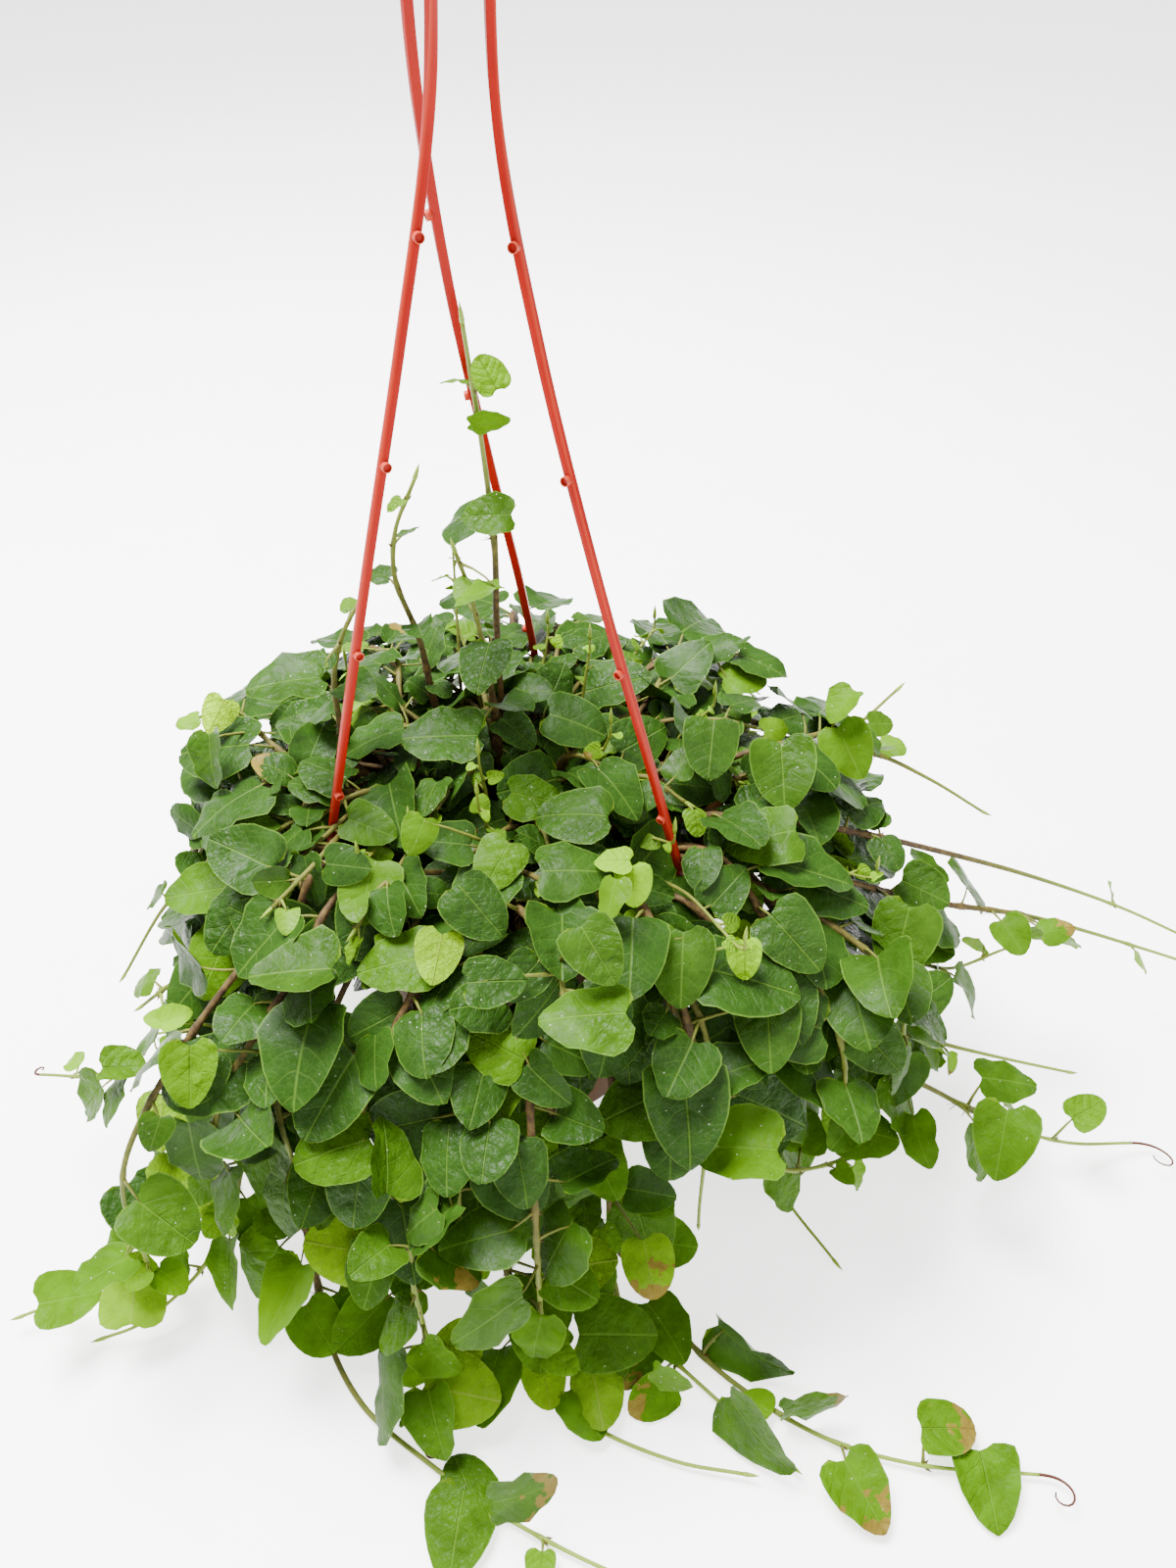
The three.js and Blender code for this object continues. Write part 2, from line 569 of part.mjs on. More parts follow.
// Where a leaf stands: its petiole leaves the stem on alternate sides, and the blade faces the light,
// outwards on the hanging side and upwards on top. Pose 0 is the plain rule; each later pose turns it.
function leafPose(stem, index, pose) {
  const { smoothstep } = THREE.MathUtils;
  const u = stem.nodes[index] / stem.length;
  const at = stem.curve.getPointAt(u);
  const along = stem.curve.getTangentAt(u);
  const turn = (k) => (pose === 0 ? 0 : spread(stem.id, index, pose, k));
  const vary = (k) => spread(stem.id, index, k);
  const side = v3().crossVectors(along, v3(...SLANT)).normalize();
  side.multiplyScalar((index + stem.id) % 2 ? 1 : -1);
  const out = v3(at.x, at.y, 0).normalize();
  const hang = smoothstep(HANG_BELOW - at.z, 0, HANG_OVER) * smoothstep(at.z, LIE_BELOW, LIE_OVER);
  const normal = v3(0, 0, 1 - FACE_AIM.hangingUp * hang)
    .addScaledVector(out, FACE_AIM.out + FACE_AIM.hangingOut * hang)
    .add(v3(vary(21), vary(22), 0).multiplyScalar(FACE_AIM.stray))
    .normalize();
  const petiole = side.clone().multiplyScalar(PETIOLE_AIM.side)
    .addScaledVector(along, PETIOLE_AIM.along + POSE_TURN.along * turn(31))
    .addScaledVector(normal, PETIOLE_AIM.face + POSE_TURN.face * turn(32))
    .normalize();
  const blade = petiole.clone().multiplyScalar(BLADE_AIM.petiole)
    .addScaledVector(along, BLADE_AIM.along)
    .addScaledVector(out, BLADE_AIM.out)
    .add(v3(0, 0, -BLADE_AIM.down - BLADE_AIM.hangingDown * hang));
  normal.applyAxisAngle(blade.clone().normalize(), POSE_TURN.roll * turn(33));
  normal.applyAxisAngle(v3().crossVectors(blade, normal).normalize(), POSE_TURN.pitch * turn(34));
  blade.addScaledVector(normal, -blade.dot(normal)).normalize();
  blade.applyAxisAngle(normal, VARY.yaw * vary(23) + POSE_TURN.yaw * turn(35));
  const share = stem.nodes[index] / (stem.length - stem.bare);
  const taper = 1 - TAPER_BY * smoothstep(share, TAPER_FROM, 1);
  const fit = 1 - (POSE_TURN.shrink * pose) / POSES;
  const length = stem.leaf * taper * fit * (1 + VARY.length * vary(24));
  const stalk = (STALK_SHARE + POSE_TURN.stalk * turn(36)) * length;
  return {
    at,
    petiole,
    base: at.clone().addScaledVector(petiole, STEM_R + stalk),
    along: blade,
    normal,
    across: v3().crossVectors(blade, normal),
    length,
    width: length * LEAF_WIDTH * (1 + VARY.width * vary(25)),
    wave: 2 * Math.PI * draw(stem.id, index, 26),
  };
}

// Height of the blade's middle surface over its flat plane: folded up along the rib, drooping to the
// tip, and waved along the margin
function bladeHeight(leaf, x, y) {
  const edge = Math.abs(x) * 2;
  const fold = LEAF_FOLD * leaf.width * edge * 0.5;
  const droop = LEAF_DROOP * leaf.length * y * y;
  const wave = LEAF_WAVE * leaf.length * edge * Math.sin(leaf.wave + 9 * y + (x > 0 ? 0 : 2));
  return fold - droop + wave;
}

function bladePoint(leaf, x, y, lift) {
  return leaf.base.clone()
    .addScaledVector(leaf.across, x * leaf.width)
    .addScaledVector(leaf.along, y * leaf.length)
    .addScaledVector(leaf.normal, bladeHeight(leaf, x, y) + lift);
}

// Outline from the petiole's right edge round the tip to its left edge
function bladeOutline(leaf) {
  const half = leaf.length < YOUNG_LENGTH ? YOUNG_OUTLINE : GROWN_OUTLINE;
  const stalk = PETIOLE_HALF / leaf.width;
  const left = half.map(([x, y]) => [-x, y]).reverse();
  return [[stalk, 0], ...half, [0, 1], ...left, [-stalk, 0]];
}

// The leaf as edges, faces and a stalk for the clearance tests
function leafBody(leaf) {
  const rim = bladeOutline(leaf).map(([x, y]) => bladePoint(leaf, x, y, 0));
  const rib = bladePoint(leaf, ...RIB, 0);
  const half = BLADE / 2;
  const next = (i) => rim[(i + 1) % rim.length];
  const faces = rim.map((p, i) => makeFace(rib, p, next(i), half));
  const edges = rim.flatMap((p, i) => [makeEdge(p, next(i), half), makeEdge(rib, p, half)]);
  const root = leaf.at.clone().addScaledVector(leaf.petiole, 2 * STEM_R);
  const stalk = makeEdge(root, leaf.base, PETIOLE_HALF);
  return { rods: [stalk], edges: [...edges, stalk], faces, rim, rib, ...ball([...rim, leaf.at]) };
}

function leafIsClear(leaf, body, stem, placed) {
  if (leaf.petiole.dot(leaf.along) < LEAST_BEND) return false;
  const probes = [...body.rim, body.rib];
  body.edges.forEach((edge) => probes.push(edge.centre));
  body.faces.forEach((face) => probes.push(face.centre));
  for (const p of probes) {
    if (p.z < BLADE || potDistance(p) < POT_CLEAR || inSoil(p, 2)) return false;
  }
  return placed.every((other) => {
    if (other !== stem.chain) return clear(body, other);
    return other.edges.every((edge) => body.faces.every((face) => edgeClearsFace(edge, face)));
  });
}

// Leaf by leaf over all the stems in turn, each takes its first pose that is clear of what stands
function placeLeaves(stems, placed) {
  const most = Math.max(...stems.map((stem) => stem.nodes.length));
  for (let index = 0; index < most; index++) {
    for (const stem of stems) {
      if (index >= stem.nodes.length) continue;
      for (let pose = 0; pose < POSES; pose++) {
        const leaf = leafPose(stem, index, pose);
        const body = leafBody(leaf);
        if (!leafIsClear(leaf, body, stem, placed)) continue;
        stem.leaves.push({ ...leaf, index });
        placed.push(body);
        break;
      }
    }
  }
}

// A list of points and triangles that grows into one closed mesh
function makeSkin() {
  const points = [];
  const triangles = [];
  return {
    point: (p) => points.push(p) - 1,
    triangle: (a, b, c) => triangles.push([a, b, c]),
    quad: (a, b, c, d) => triangles.push([a, b, c], [a, c, d]),
    points,
    geometry() {
      const geometry = new THREE.BufferGeometry().setFromPoints(points);
      geometry.setIndex(triangles.flat());
      geometry.computeVertexNormals();
      return geometry;
    },
  };
}

// The blade's two faces and its rim; returns the open loop at its base, seen from the stalk's side
function skinBlade(skin, leaf) {
  const outline = bladeOutline(leaf);
  const top = outline.map(([x, y]) => skin.point(bladePoint(leaf, x, y, BLADE / 2)));
  const low = outline.map(([x, y]) => skin.point(bladePoint(leaf, x, y, -BLADE / 2)));
  const ribTop = skin.point(bladePoint(leaf, ...RIB, BLADE / 2));
  const ribLow = skin.point(bladePoint(leaf, ...RIB, -BLADE / 2));
  const last = outline.length - 1;
  outline.forEach((_, i) => {
    const j = (i + 1) % outline.length;
    skin.triangle(ribTop, top[i], top[j]);
    skin.triangle(ribLow, low[j], low[i]);
    if (i < last) skin.quad(top[i], low[i], low[j], top[j]);
  });
  return [top[last], low[last], low[0], top[0]];
}

// The stalk runs from an opened side of the stem to the blade's base, with the least twist
function skinStalk(skin, root, end) {
  const place = (loop) => loop.map((i) => skin.points[i]);
  const middle = (loop) => ball(place(loop)).centre;
  const [from, to] = [middle(root), middle(end)];
  const matched = (s) => root.map((_, j) => end[(s - j + 8) % 4]);
  const twist = (s) => matched(s).reduce((sum, e, j) => {
    const a = v3().subVectors(skin.points[root[j]], from);
    const b = v3().subVectors(skin.points[e], to);
    return sum + a.distanceToSquared(b);
  }, 0);
  const best = [0, 1, 2, 3].reduce((a, b) => (twist(b) < twist(a) ? b : a));
  const far = matched(best);
  root.forEach((r, j) => {
    const k = (j + 1) % 4;
    skin.quad(r, root[k], far[k], far[j]);
  });
}

// A leafy stem as one closed mesh: a three-sided tube whose side opens into a stalk at each leaf
function makeLeafyStem(stem) {
  const skin = makeSkin();
  const normal = v3(0, 0, 1);
  const rings = [];
  const frames = [];
  stem.stations.forEach((s, i) => {
    const u = Math.min(1, s / stem.length);
    const along = stem.curve.getTangentAt(u);
    if (i === 0) normal.copy(v3(-stem.line[0].y, stem.line[0].x, 0));
    normal.addScaledVector(along, -normal.dot(along)).normalize();
    const across = v3().crossVectors(along, normal);
    const radius = THREE.MathUtils.lerp(STEM_R, TIP_R, THREE.MathUtils.smoothstep(u, 0.6, 1));
    rings.push([0, 1, 2].map((k) => {
      const a = (k * 2 * Math.PI) / 3;
      const p = stem.line[i].clone();
      p.addScaledVector(normal, radius * Math.cos(a)).addScaledVector(across, radius * Math.sin(a));
      return skin.point(p);
    }));
    frames.push({ normal: normal.clone(), across });
  });
  const ringOf = (leaf) => stem.stations.indexOf(stem.nodes[leaf.index] - NODE_HALF);
  const leafAt = new Map(stem.leaves.map((leaf) => [ringOf(leaf), leaf]));
  for (let i = 0; i + 1 < rings.length; i++) {
    const leaf = leafAt.get(i);
    const { normal: n, across: b } = frames[i];
    // The side that faces the stalk is left open for it
    const facing = (k) => {
      const a = ((2 * k + 1) * Math.PI) / 3;
      return leaf.petiole.dot(n) * Math.cos(a) + leaf.petiole.dot(b) * Math.sin(a);
    };
    const open = leaf ? [0, 1, 2].reduce((a, k) => (facing(k) > facing(a) ? k : a)) : -1;
    for (let k = 0; k < 3; k++) {
      const m = (k + 1) % 3;
      const loop = [rings[i][k], rings[i][m], rings[i + 1][m], rings[i + 1][k]];
      if (k === open) skinStalk(skin, loop, skinBlade(skin, leaf));
      else skin.quad(...loop);
    }
  }
  const [first, last] = [rings[0], rings[rings.length - 1]];
  skin.triangle(first[0], first[2], first[1]);
  skin.triangle(...last);
  addPiece(`stem_${stem.name}`, skin.geometry(), MATERIALS.foliage);
}

// A stem that crosses the rim first rises from the soil, so that it passes over the lip
function overRim([exit, next, ...rest]) {
  const r = Math.hypot(exit.x, exit.y);
  if (Math.hypot(next.x, next.y) < LIP_R - 10) return [exit, next, ...rest];
  const share = (r + RISE_OUT) / r;
  return [exit, v3(exit.x * share, exit.y * share, SOIL_TOP + RISE), next, ...rest];
}

// All the routes in order; those of the mound are tried until they are clear
function growStems(arms) {
  const placed = arms.map((curve) => rodChain(curve.getSpacedPoints(40), ARM_WIDTH / 2 + NUB_PROUD));
  const stems = [];
  const add = (spec) => {
    const stem = growStem({ ...spec, id: stems.length });
    stems.push(stem);
    placed.push(stem.chain);
  };
  for (const spec of LONG_STEMS) {
    const route = overRim(spec.route.map(([x, y, z]) => v3(x, y, z)));
    add({ ...spec, route });
  }
  const fill = (count, label, route, habit) => {
    for (let i = 0; i < count; i++) {
      for (let attempt = 0; attempt < ROUTE_TRIES; attempt++) {
        const spec = { ...habit, name: `${label}_${i + 1}`, route: route(i, attempt) };
        if (!stemIsClear(growStem({ ...spec, id: 0 }), placed)) continue;
        add(spec);
        break;
      }
    }
  };
  fill(TOP_SHOOTS, "top", topRoute, TOP_HABIT);
  fill(SKIRT_STEMS, "skirt", skirtRoute, SKIRT_HABIT);
  return { stems, placed };
}

const arms = ARMS.map(makeArm);
const { stems, placed } = growStems(arms);
placeLeaves(stems, placed);
makePot();
makeSoil(stems);
makeHook();
stems.forEach(makeLeafyStem);

export default group;
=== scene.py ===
"""Looks of a creeping fig in a 15 cm hanging pot, standing on a white table.

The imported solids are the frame. Every leafy stem, the pot, its soil and the hanger get a finer piece
on the same curves, and the mound gets the small leaves, buds and rootlets that the solids leave out.
Lengths are in millimetres until a mesh is made.
"""
import math

import bpy
import numpy as np
from mathutils.bvhtree import BVHTree
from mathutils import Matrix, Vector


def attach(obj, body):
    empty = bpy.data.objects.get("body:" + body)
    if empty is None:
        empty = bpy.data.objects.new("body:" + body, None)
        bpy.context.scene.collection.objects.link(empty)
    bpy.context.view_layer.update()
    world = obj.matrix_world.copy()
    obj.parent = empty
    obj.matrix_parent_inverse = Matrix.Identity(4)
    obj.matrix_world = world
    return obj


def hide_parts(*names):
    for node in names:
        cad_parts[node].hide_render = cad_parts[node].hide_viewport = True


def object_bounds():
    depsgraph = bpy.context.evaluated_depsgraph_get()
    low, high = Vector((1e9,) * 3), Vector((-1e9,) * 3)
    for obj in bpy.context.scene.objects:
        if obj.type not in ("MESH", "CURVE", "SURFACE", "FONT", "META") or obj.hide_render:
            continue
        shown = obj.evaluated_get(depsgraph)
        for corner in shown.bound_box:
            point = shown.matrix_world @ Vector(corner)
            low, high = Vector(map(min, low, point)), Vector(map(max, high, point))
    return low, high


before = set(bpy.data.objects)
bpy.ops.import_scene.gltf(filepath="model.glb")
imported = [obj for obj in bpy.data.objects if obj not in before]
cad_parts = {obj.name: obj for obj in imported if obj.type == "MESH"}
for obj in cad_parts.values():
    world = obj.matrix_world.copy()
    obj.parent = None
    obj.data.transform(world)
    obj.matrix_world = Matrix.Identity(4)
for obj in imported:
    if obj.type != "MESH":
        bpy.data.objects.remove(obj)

CAD_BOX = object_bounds()
MM = 0.001

# Camera, fitted to the hanger's arms and the pot's lip in the photograph
CAMERA_AT = (0, -317.3, 437.2)
CAMERA_DOWN = 42.9
CAMERA_TURN = 4.7
CAMERA_LENS = 27


def vec(*xyz):
    """A point or direction as an array."""
    return np.array(xyz, float)


def unit(v):
    """v divided by its length."""
    return v / np.linalg.norm(v)


camera = bpy.data.cameras.new("photo_camera")
camera.lens = CAMERA_LENS
camera.clip_end = 50
camera_object = bpy.data.objects.new("photo_camera", camera)
camera_object.location = vec(*CAMERA_AT) * MM
camera_object.rotation_euler = (math.radians(90 - CAMERA_DOWN), 0, math.radians(-CAMERA_TURN))
bpy.context.scene.collection.objects.link(camera_object)
bpy.context.scene.camera = camera_object

# The part's own sizes and rules, as its source has them
POT_HEIGHT = 130
BASE_R = 52
WALL_R = 71
WALL = 1.6
LIP_R = 77.5
LIP_DROP = 10
DRAIN_HOLES = 4
DRAIN_R = 3.5
DRAIN_CIRCLE = 30
SOIL_TOP = 114
STEM_DEPTH = 14
FIT_GAP = 0.3
FOOT_CIRCLE = 73.3
ARM_WIDTH = 3.3
ARM_DEPTH = 2.7
TOE = 6
SLOT = 4.4
NUB_FIRST = 44.8
NUB_PITCH = 57.5
NUBS = 4
HUB = vec(-6, -12, 0)
HUB_R = 16
HUB_THICK = 6
HUB_RISE = 273
HOOK_ROD_R = 1.9
HOOK_INNER_R = 11
HOOK_SHANK = 12
ARMS = [
    ("hanger_arm_left", 200.4, "left",
     [(-54, -35, 65), (-39, -31, 126), (-24, -20, 184), (-12, -14, 235), (-8, -23, 273)]),
    ("hanger_arm_right", 320.4, "right",
     [(41, -54, 67), (25, -42, 129), (12, -25, 185), (4, -12, 234), (4, -8, 273)]),
    ("hanger_arm_back", 80.4, "left",
     [(6, 48, 64), (-3, 30, 127), (-11, 15, 186), (-15, 3, 237), (-15, -5, 273)]),
]
SEED = 41
STEM_R = 1.2
TIP_R = 0.7
STEP_SHRINK = 0.25
BLADE = 0.7
POSES = 40
ROUTE_TRIES = 14
RISE = 18
RISE_OUT = 5
LIP_CLEAR = 10
LEAF_WIDTH = 0.78
LEAF_FOLD = 0.1
LEAF_DROOP = 0.16
LEAF_WAVE = 0.035
FACE_AIM = {"hanging_up": 0.25, "out": 0.25, "hanging_out": 0.75, "stray": 0.28}
PETIOLE_AIM = {"side": 0.85, "along": 0.4, "face": 0.45}
BLADE_AIM = {"petiole": 0.75, "along": 0.25, "out": 0.35, "down": 0.3, "hanging_down": 0.4}
HANG_BELOW, HANG_OVER = 150, 100
LIE_BELOW, LIE_OVER = 6, 40
STALK_SHARE = 0.3
VARY = {"yaw": 0.35, "length": 0.2, "width": 0.08}
TAPER_FROM, TAPER_BY = 0.72, 0.55
POSE_TURN = {"along": 0.35, "face": 0.4, "roll": 0.6, "pitch": 0.55, "yaw": 1, "stalk": 0.12,
             "shrink": 0.3}
SLANT = vec(0.12, 0.07, 1)
# name, grown leaf's length, first leaf, step, bare tip, route
LONG_STEMS = [
    ("tall_back", 23, 99, 31, 14,
     [(4, 32, 116), (-3, 24, 150), (-4, 17, 200), (-3, 15, 234), (-5, 12, 273), (-8, 10, 309)]),
    ("tall_left", 14, 70, 22, 6,
     [(-22, 26, 118), (-28, 22, 160), (-31, 18, 198), (-36, 14, 225), (-34, 12, 243),
      (-26, 10, 262)]),
    ("tall_middle", 19, 60, 17, 3,
     [(-6, 12, 118), (-6, 8, 160), (-9, 4, 205), (-12, 2, 228), (-15, 0, 242)]),
    ("arm_side", 15, 60, 19, 2,
     [(-46, 10, 116), (-58, 6, 150), (-60, 4, 190), (-54, 2, 212), (-46, 2, 226)]),
    ("upper_left", 26, 22, 25, 3,
     [(-42, 0, 116), (-58, 0, 142), (-84, 10, 156), (-105, 32, 160), (-118, 38, 152)]),
    ("back_left", 29, 28, 27, 24,
     [(-52, 4, 116), (-78, 2, 138), (-108, 0, 124), (-128, 4, 100), (-144, 3, 82), (-161, -9, 60)]),
    ("back_right", 28, 22, 25, 0,
     [(24, 38, 116), (40, 44, 148), (68, 52, 160), (88, 57, 155), (104, 61, 140)]),
    ("upper_right", 27, 26, 26, 14,
     [(40, -4, 116), (66, -8, 152), (104, 0, 158), (127, 12, 152), (147, 27, 156)]),
    ("bare_right", 29, 34, 31, 50,
     [(50, 8, 116), (77, 6, 144), (109, 8, 146), (138, 14, 136), (162, 10, 124), (184, 5, 110)]),
    ("far_right", 26, 58, 37, 34,
     [(46, -24, 116), (80, -43, 140), (116, -40, 124), (151, -31, 100), (204, -21, 74),
      (262, -20, 46), (300, -24, 30)]),
    ("far_right_twin", 23, 92, 44, 40,
     [(52, -16, 116), (84, -32, 150), (122, -26, 134), (157, -16, 112), (206, -8, 84),
      (252, -8, 60), (282, -12, 44)]),
    ("yellow_right", 28, 32, 36, 4,
     [(53, -6, 116), (80, -20, 134), (108, -22, 118), (128, -34, 96), (146, -38, 78),
      (170, -32, 58), (200, -18, 50)]),
    ("bare_low_right", 27, 30, 28, 58,
     [(44, -30, 116), (76, -50, 137), (104, -62, 104), (130, -66, 72), (157, -64, 54),
      (186, -64, 40), (214, -66, 30)]),
    ("low_right", 28, 32, 29, 14,
     [(36, -42, 116), (62, -67, 134), (89, -79, 100), (121, -80, 72), (148, -82, 52),
      (176, -86, 32), (210, -88, 14), (240, -86, 6)]),
    ("front_right", 28, 28, 25, 6,
     [(20, -50, 116), (31, -82, 136), (40, -99, 108), (54, -108, 84), (86, -114, 58),
      (124, -102, 46)]),
    ("floor_right", 26, 30, 31, 22,
     [(4, -54, 116), (6, -84, 134), (8, -100, 98), (12, -106, 56), (26, -116, 18), (40, -132, 5),
      (56, -155, 3), (88, -181, 3), (118, -193, 3), (160, -200, 3)]),
    ("floor_right_twin", 25, 36, 30, 10,
     [(12, -46, 116), (20, -82, 138), (26, -104, 92), (24, -118, 42), (28, -138, 8),
      (46, -156, 3), (78, -190, 3)]),
    ("floor_middle", 27, 34, 29, 16,
     [(-6, -52, 116), (-9, -86, 134), (-12, -106, 90), (-13, -120, 42), (-12, -136, 11),
      (-6, -155, 4), (12, -172, 3), (40, -186, 3), (62, -192, 4)]),
    ("floor_front", 27, 30, 29, 30,
     [(-30, -42, 116), (-50, -66, 138), (-68, -86, 114), (-80, -99, 78), (-84, -108, 44),
      (-82, -120, 20), (-78, -138, 6), (-65, -160, 3), (-42, -180, 3), (-20, -196, 3),
      (6, -211, 3), (34, -224, 3)]),
    ("floor_inner", 26, 34, 27, 2,
     [(-18, -48, 116), (-30, -80, 136), (-42, -96, 102), (-48, -106, 58), (-46, -126, 14),
      (-42, -150, 5), (-38, -172, 4)]),
    ("low_left", 27, 28, 28, 16,
     [(-40, -28, 116), (-64, -50, 138), (-87, -68, 110), (-99, -80, 78), (-108, -95, 44),
      (-124, -112, 16), (-146, -127, 7), (-158, -130, 5)]),
    ("tip_left", 26, 30, 31, 6,
     [(-46, -18, 116), (-74, -38, 138), (-103, -62, 106), (-124, -86, 64), (-142, -104, 32),
      (-162, -116, 16), (-188, -121, 8)]),
    ("mid_left", 26, 28, 27, 10,
     [(-50, -9, 116), (-76, -20, 140), (-100, -44, 114), (-122, -56, 80), (-156, -54, 56),
      (-190, -44, 45)]),
    ("young_left", 24, 26, 24, 2,
     [(-36, -8, 116), (-62, -12, 156), (-94, -34, 136), (-118, -46, 108), (-138, -50, 92)]),
]
TOP_SHOOTS = 16
TOP = {"root": 44, "reach": 14, "reach_more": 22, "height": 166, "lower": 24, "swing": 0.6, "tip": 16,
       "lean": 3, "sag": 7}
TOP_RETRY = {"turn": 0.16, "lower": 2}
TOP_HABIT = (27, 15, 17.5, 0)
SKIRT_STEMS = 12
SKIRT = {"root": 34, "root_more": 20, "over_rim": 84, "crest": 144, "crest_more": 14,
         "reach": 112, "reach_more": 20, "low": 20, "low_more": 54, "swing": 0.3, "bow": 16, "out": 8}
SKIRT_RETRY = 0.05
SKIRT_CROWD = 1.2
TRAIL_EVERY = 4
TRAIL = {"bend": 38, "foot": 16, "foot_height": 9, "tip": 44, "tip_height": 3, "swing": 1.2}
SKIRT_HABIT = (28, 42, 27, 0)
GOLDEN_ANGLE = math.pi * (3 - math.sqrt(5))


# Repeatable draws and smooth curves
def mixed(a, b):
    """Product of two whole numbers, its lowest 32 bits."""
    return (a * b) & 0xFFFFFFFF


def draw(*numbers):
    """A repeatable draw from 0 to 1: the numbers that name a place are mixed one after another."""
    h = SEED
    for n in numbers:
        h = mixed(h ^ (n + 977), 0x9E3779B1)
        h = mixed(h ^ (h >> 15), 0x85EBCA6B)
        h ^= h >> 13
    return h / 4294967296


def spread(*numbers):
    """A repeatable draw from -1 to 1."""
    return 2 * draw(*numbers) - 1


def smooth(x, low, high):
    """0 below low, 1 above high and 3t^2 - 2t^3 between them."""
    t = np.clip((x - low) / (high - low), 0, 1)
    return t * t * (3 - 2 * t)


def polar(r, turn, z):
    """The point at a radius and a turn round the pot's axis."""
    return vec(r * math.cos(turn), r * math.sin(turn), z)


def turned(v, axis, angle):
    """v turned about a unit axis: v cos + (axis x v) sin + axis (axis . v)(1 - cos)."""
    c, s = math.cos(angle), math.sin(angle)
    return v * c + np.cross(axis, v) * s + axis * (axis @ v) * (1 - c)


class Curve:
    """A centripetal Catmull-Rom curve through points, measured along its length in 200 chords."""

    def __init__(self, points):
        """Adds a point beyond each end, as far from it as its neighbour, and sums the chords."""
        p = np.asarray(points, float)
        self.points = np.vstack([2 * p[0] - p[1], p, 2 * p[-1] - p[-2]])
        self.spans = len(p) - 1
        self.shares = np.linspace(0, 1, 201)
        chords = np.linalg.norm(np.diff(self.place(self.shares), axis=0), axis=1)
        self.lengths = np.concatenate([[0], np.cumsum(chords)])
        self.length = self.lengths[-1]

    def place(self, share):
        """Points at shares of the spans: a cubic between two points, with tangents from the square
        roots of the distances to their neighbours."""
        k = self.spans * np.atleast_1d(share)
        i = np.minimum(np.floor(k).astype(int), self.spans - 1)
        w = (k - i)[:, None]
        a, b, c, d = (self.points[i + j] for j in range(4))
        ab, bc, cd = (np.sum((u - v) ** 2, axis=1, keepdims=True) ** 0.25
                      for u, v in ((a, b), (b, c), (c, d)))
        t1 = ((b - a) / ab - (c - a) / (ab + bc) + (c - b) / bc) * bc
        t2 = ((c - b) / bc - (d - b) / (bc + cd) + (d - c) / cd) * bc
        return b + t1 * w + (3 * (c - b) - 2 * t1 - t2) * w ** 2 + (2 * (b - c) + t1 + t2) * w ** 3

    def share(self, s):
        """Share of the spans at a length s along the curve."""
        return np.interp(np.clip(s, 0, self.length), self.lengths, self.shares)

    def at(self, s):
        """Points at lengths s along the curve."""
        return self.place(self.share(s))

    def way(self, s):
        """Unit tangents at lengths s along the curve."""
        t = self.share(np.atleast_1d(s))
        d = self.place(np.minimum(t + 1e-4, 1)) - self.place(np.maximum(t - 1e-4, 0))
        return d / np.linalg.norm(d, axis=1, keepdims=True)


# Stems and leaves by the part's own rule
def over_rim(route):
    """The route with one more point where it rises from the soil, if its second point is past the lip."""
    first, second = vec(*route[0]), vec(*route[1])
    r = math.hypot(first[0], first[1])
    if math.hypot(second[0], second[1]) < LIP_R - LIP_CLEAR:
        return [vec(*p) for p in route]
    k = (r + RISE_OUT) / r
    rise = vec(first[0] * k, first[1] * k, SOIL_TOP + RISE)
    return [first, rise] + [vec(*p) for p in route[1:]]


def top_route(index, attempt, count=TOP_SHOOTS, shift=0.0):
    """Route of a short shoot over the soil, its root on a golden-angle spiral."""
    share = math.sqrt((index + 0.5) / count)
    turn = shift + index * GOLDEN_ANGLE + TOP_RETRY["turn"] * attempt
    root = TOP["root"] * share
    reach = root + TOP["reach"] + TOP["reach_more"] * share * (1 + draw(index, 2))
    rise = TOP["height"] - TOP["lower"] * draw(index, 3) * share - TOP_RETRY["lower"] * attempt
    swing = turn + TOP["swing"] * spread(index, 4)
    return [polar(root, turn, SOIL_TOP), polar(root + TOP["lean"], turn, SOIL_TOP + STEM_DEPTH),
            polar((root + reach) / 2, (turn + swing) / 2, rise - TOP["sag"]), polar(reach, swing, rise),
            polar(reach + TOP["tip"], swing, rise - TOP["sag"])]


def skirt_route(index, attempt, count=SKIRT_STEMS, crowd=SKIRT_CROWD, key=0):
    """Route of a stem that arches over the rim and hangs; every fourth one trails on the table."""
    share = ((index + 0.5) / count) * 2 - 1
    step = SKIRT_RETRY * attempt * (1 if attempt % 2 else -1)
    turn = math.pi / 2 + math.pi * math.copysign(abs(share) ** crowd, share) + step
    k = key + index
    root = SKIRT["root"] + SKIRT["root_more"] * draw(k, 11)
    crest = SKIRT["crest"] + SKIRT["crest_more"] * draw(k, 12)
    reach = SKIRT["reach"] + SKIRT["reach_more"] * draw(k, 13)
    low = SKIRT["low"] + SKIRT["low_more"] * draw(k, 14)
    swing = SKIRT["swing"] * spread(k, 15)
    trails = key == 0 and index % TRAIL_EVERY == 1
    route = [polar(root, turn, SOIL_TOP), polar(root + RISE_OUT, turn, SOIL_TOP + STEM_DEPTH),
             polar(SKIRT["over_rim"], turn + swing * 0.3, crest),
             polar(reach, turn + swing * 0.7, (crest + low) / 2 + SKIRT["bow"]),
             polar(reach + SKIRT["out"], turn + swing, TRAIL["bend"] if trails else low)]
    if trails:
        route.append(polar(reach + TRAIL["foot"], turn + swing, TRAIL["foot_height"]))
        route.append(polar(reach + TRAIL["tip"], turn + TRAIL["swing"] * swing, TRAIL["tip_height"]))
    return route


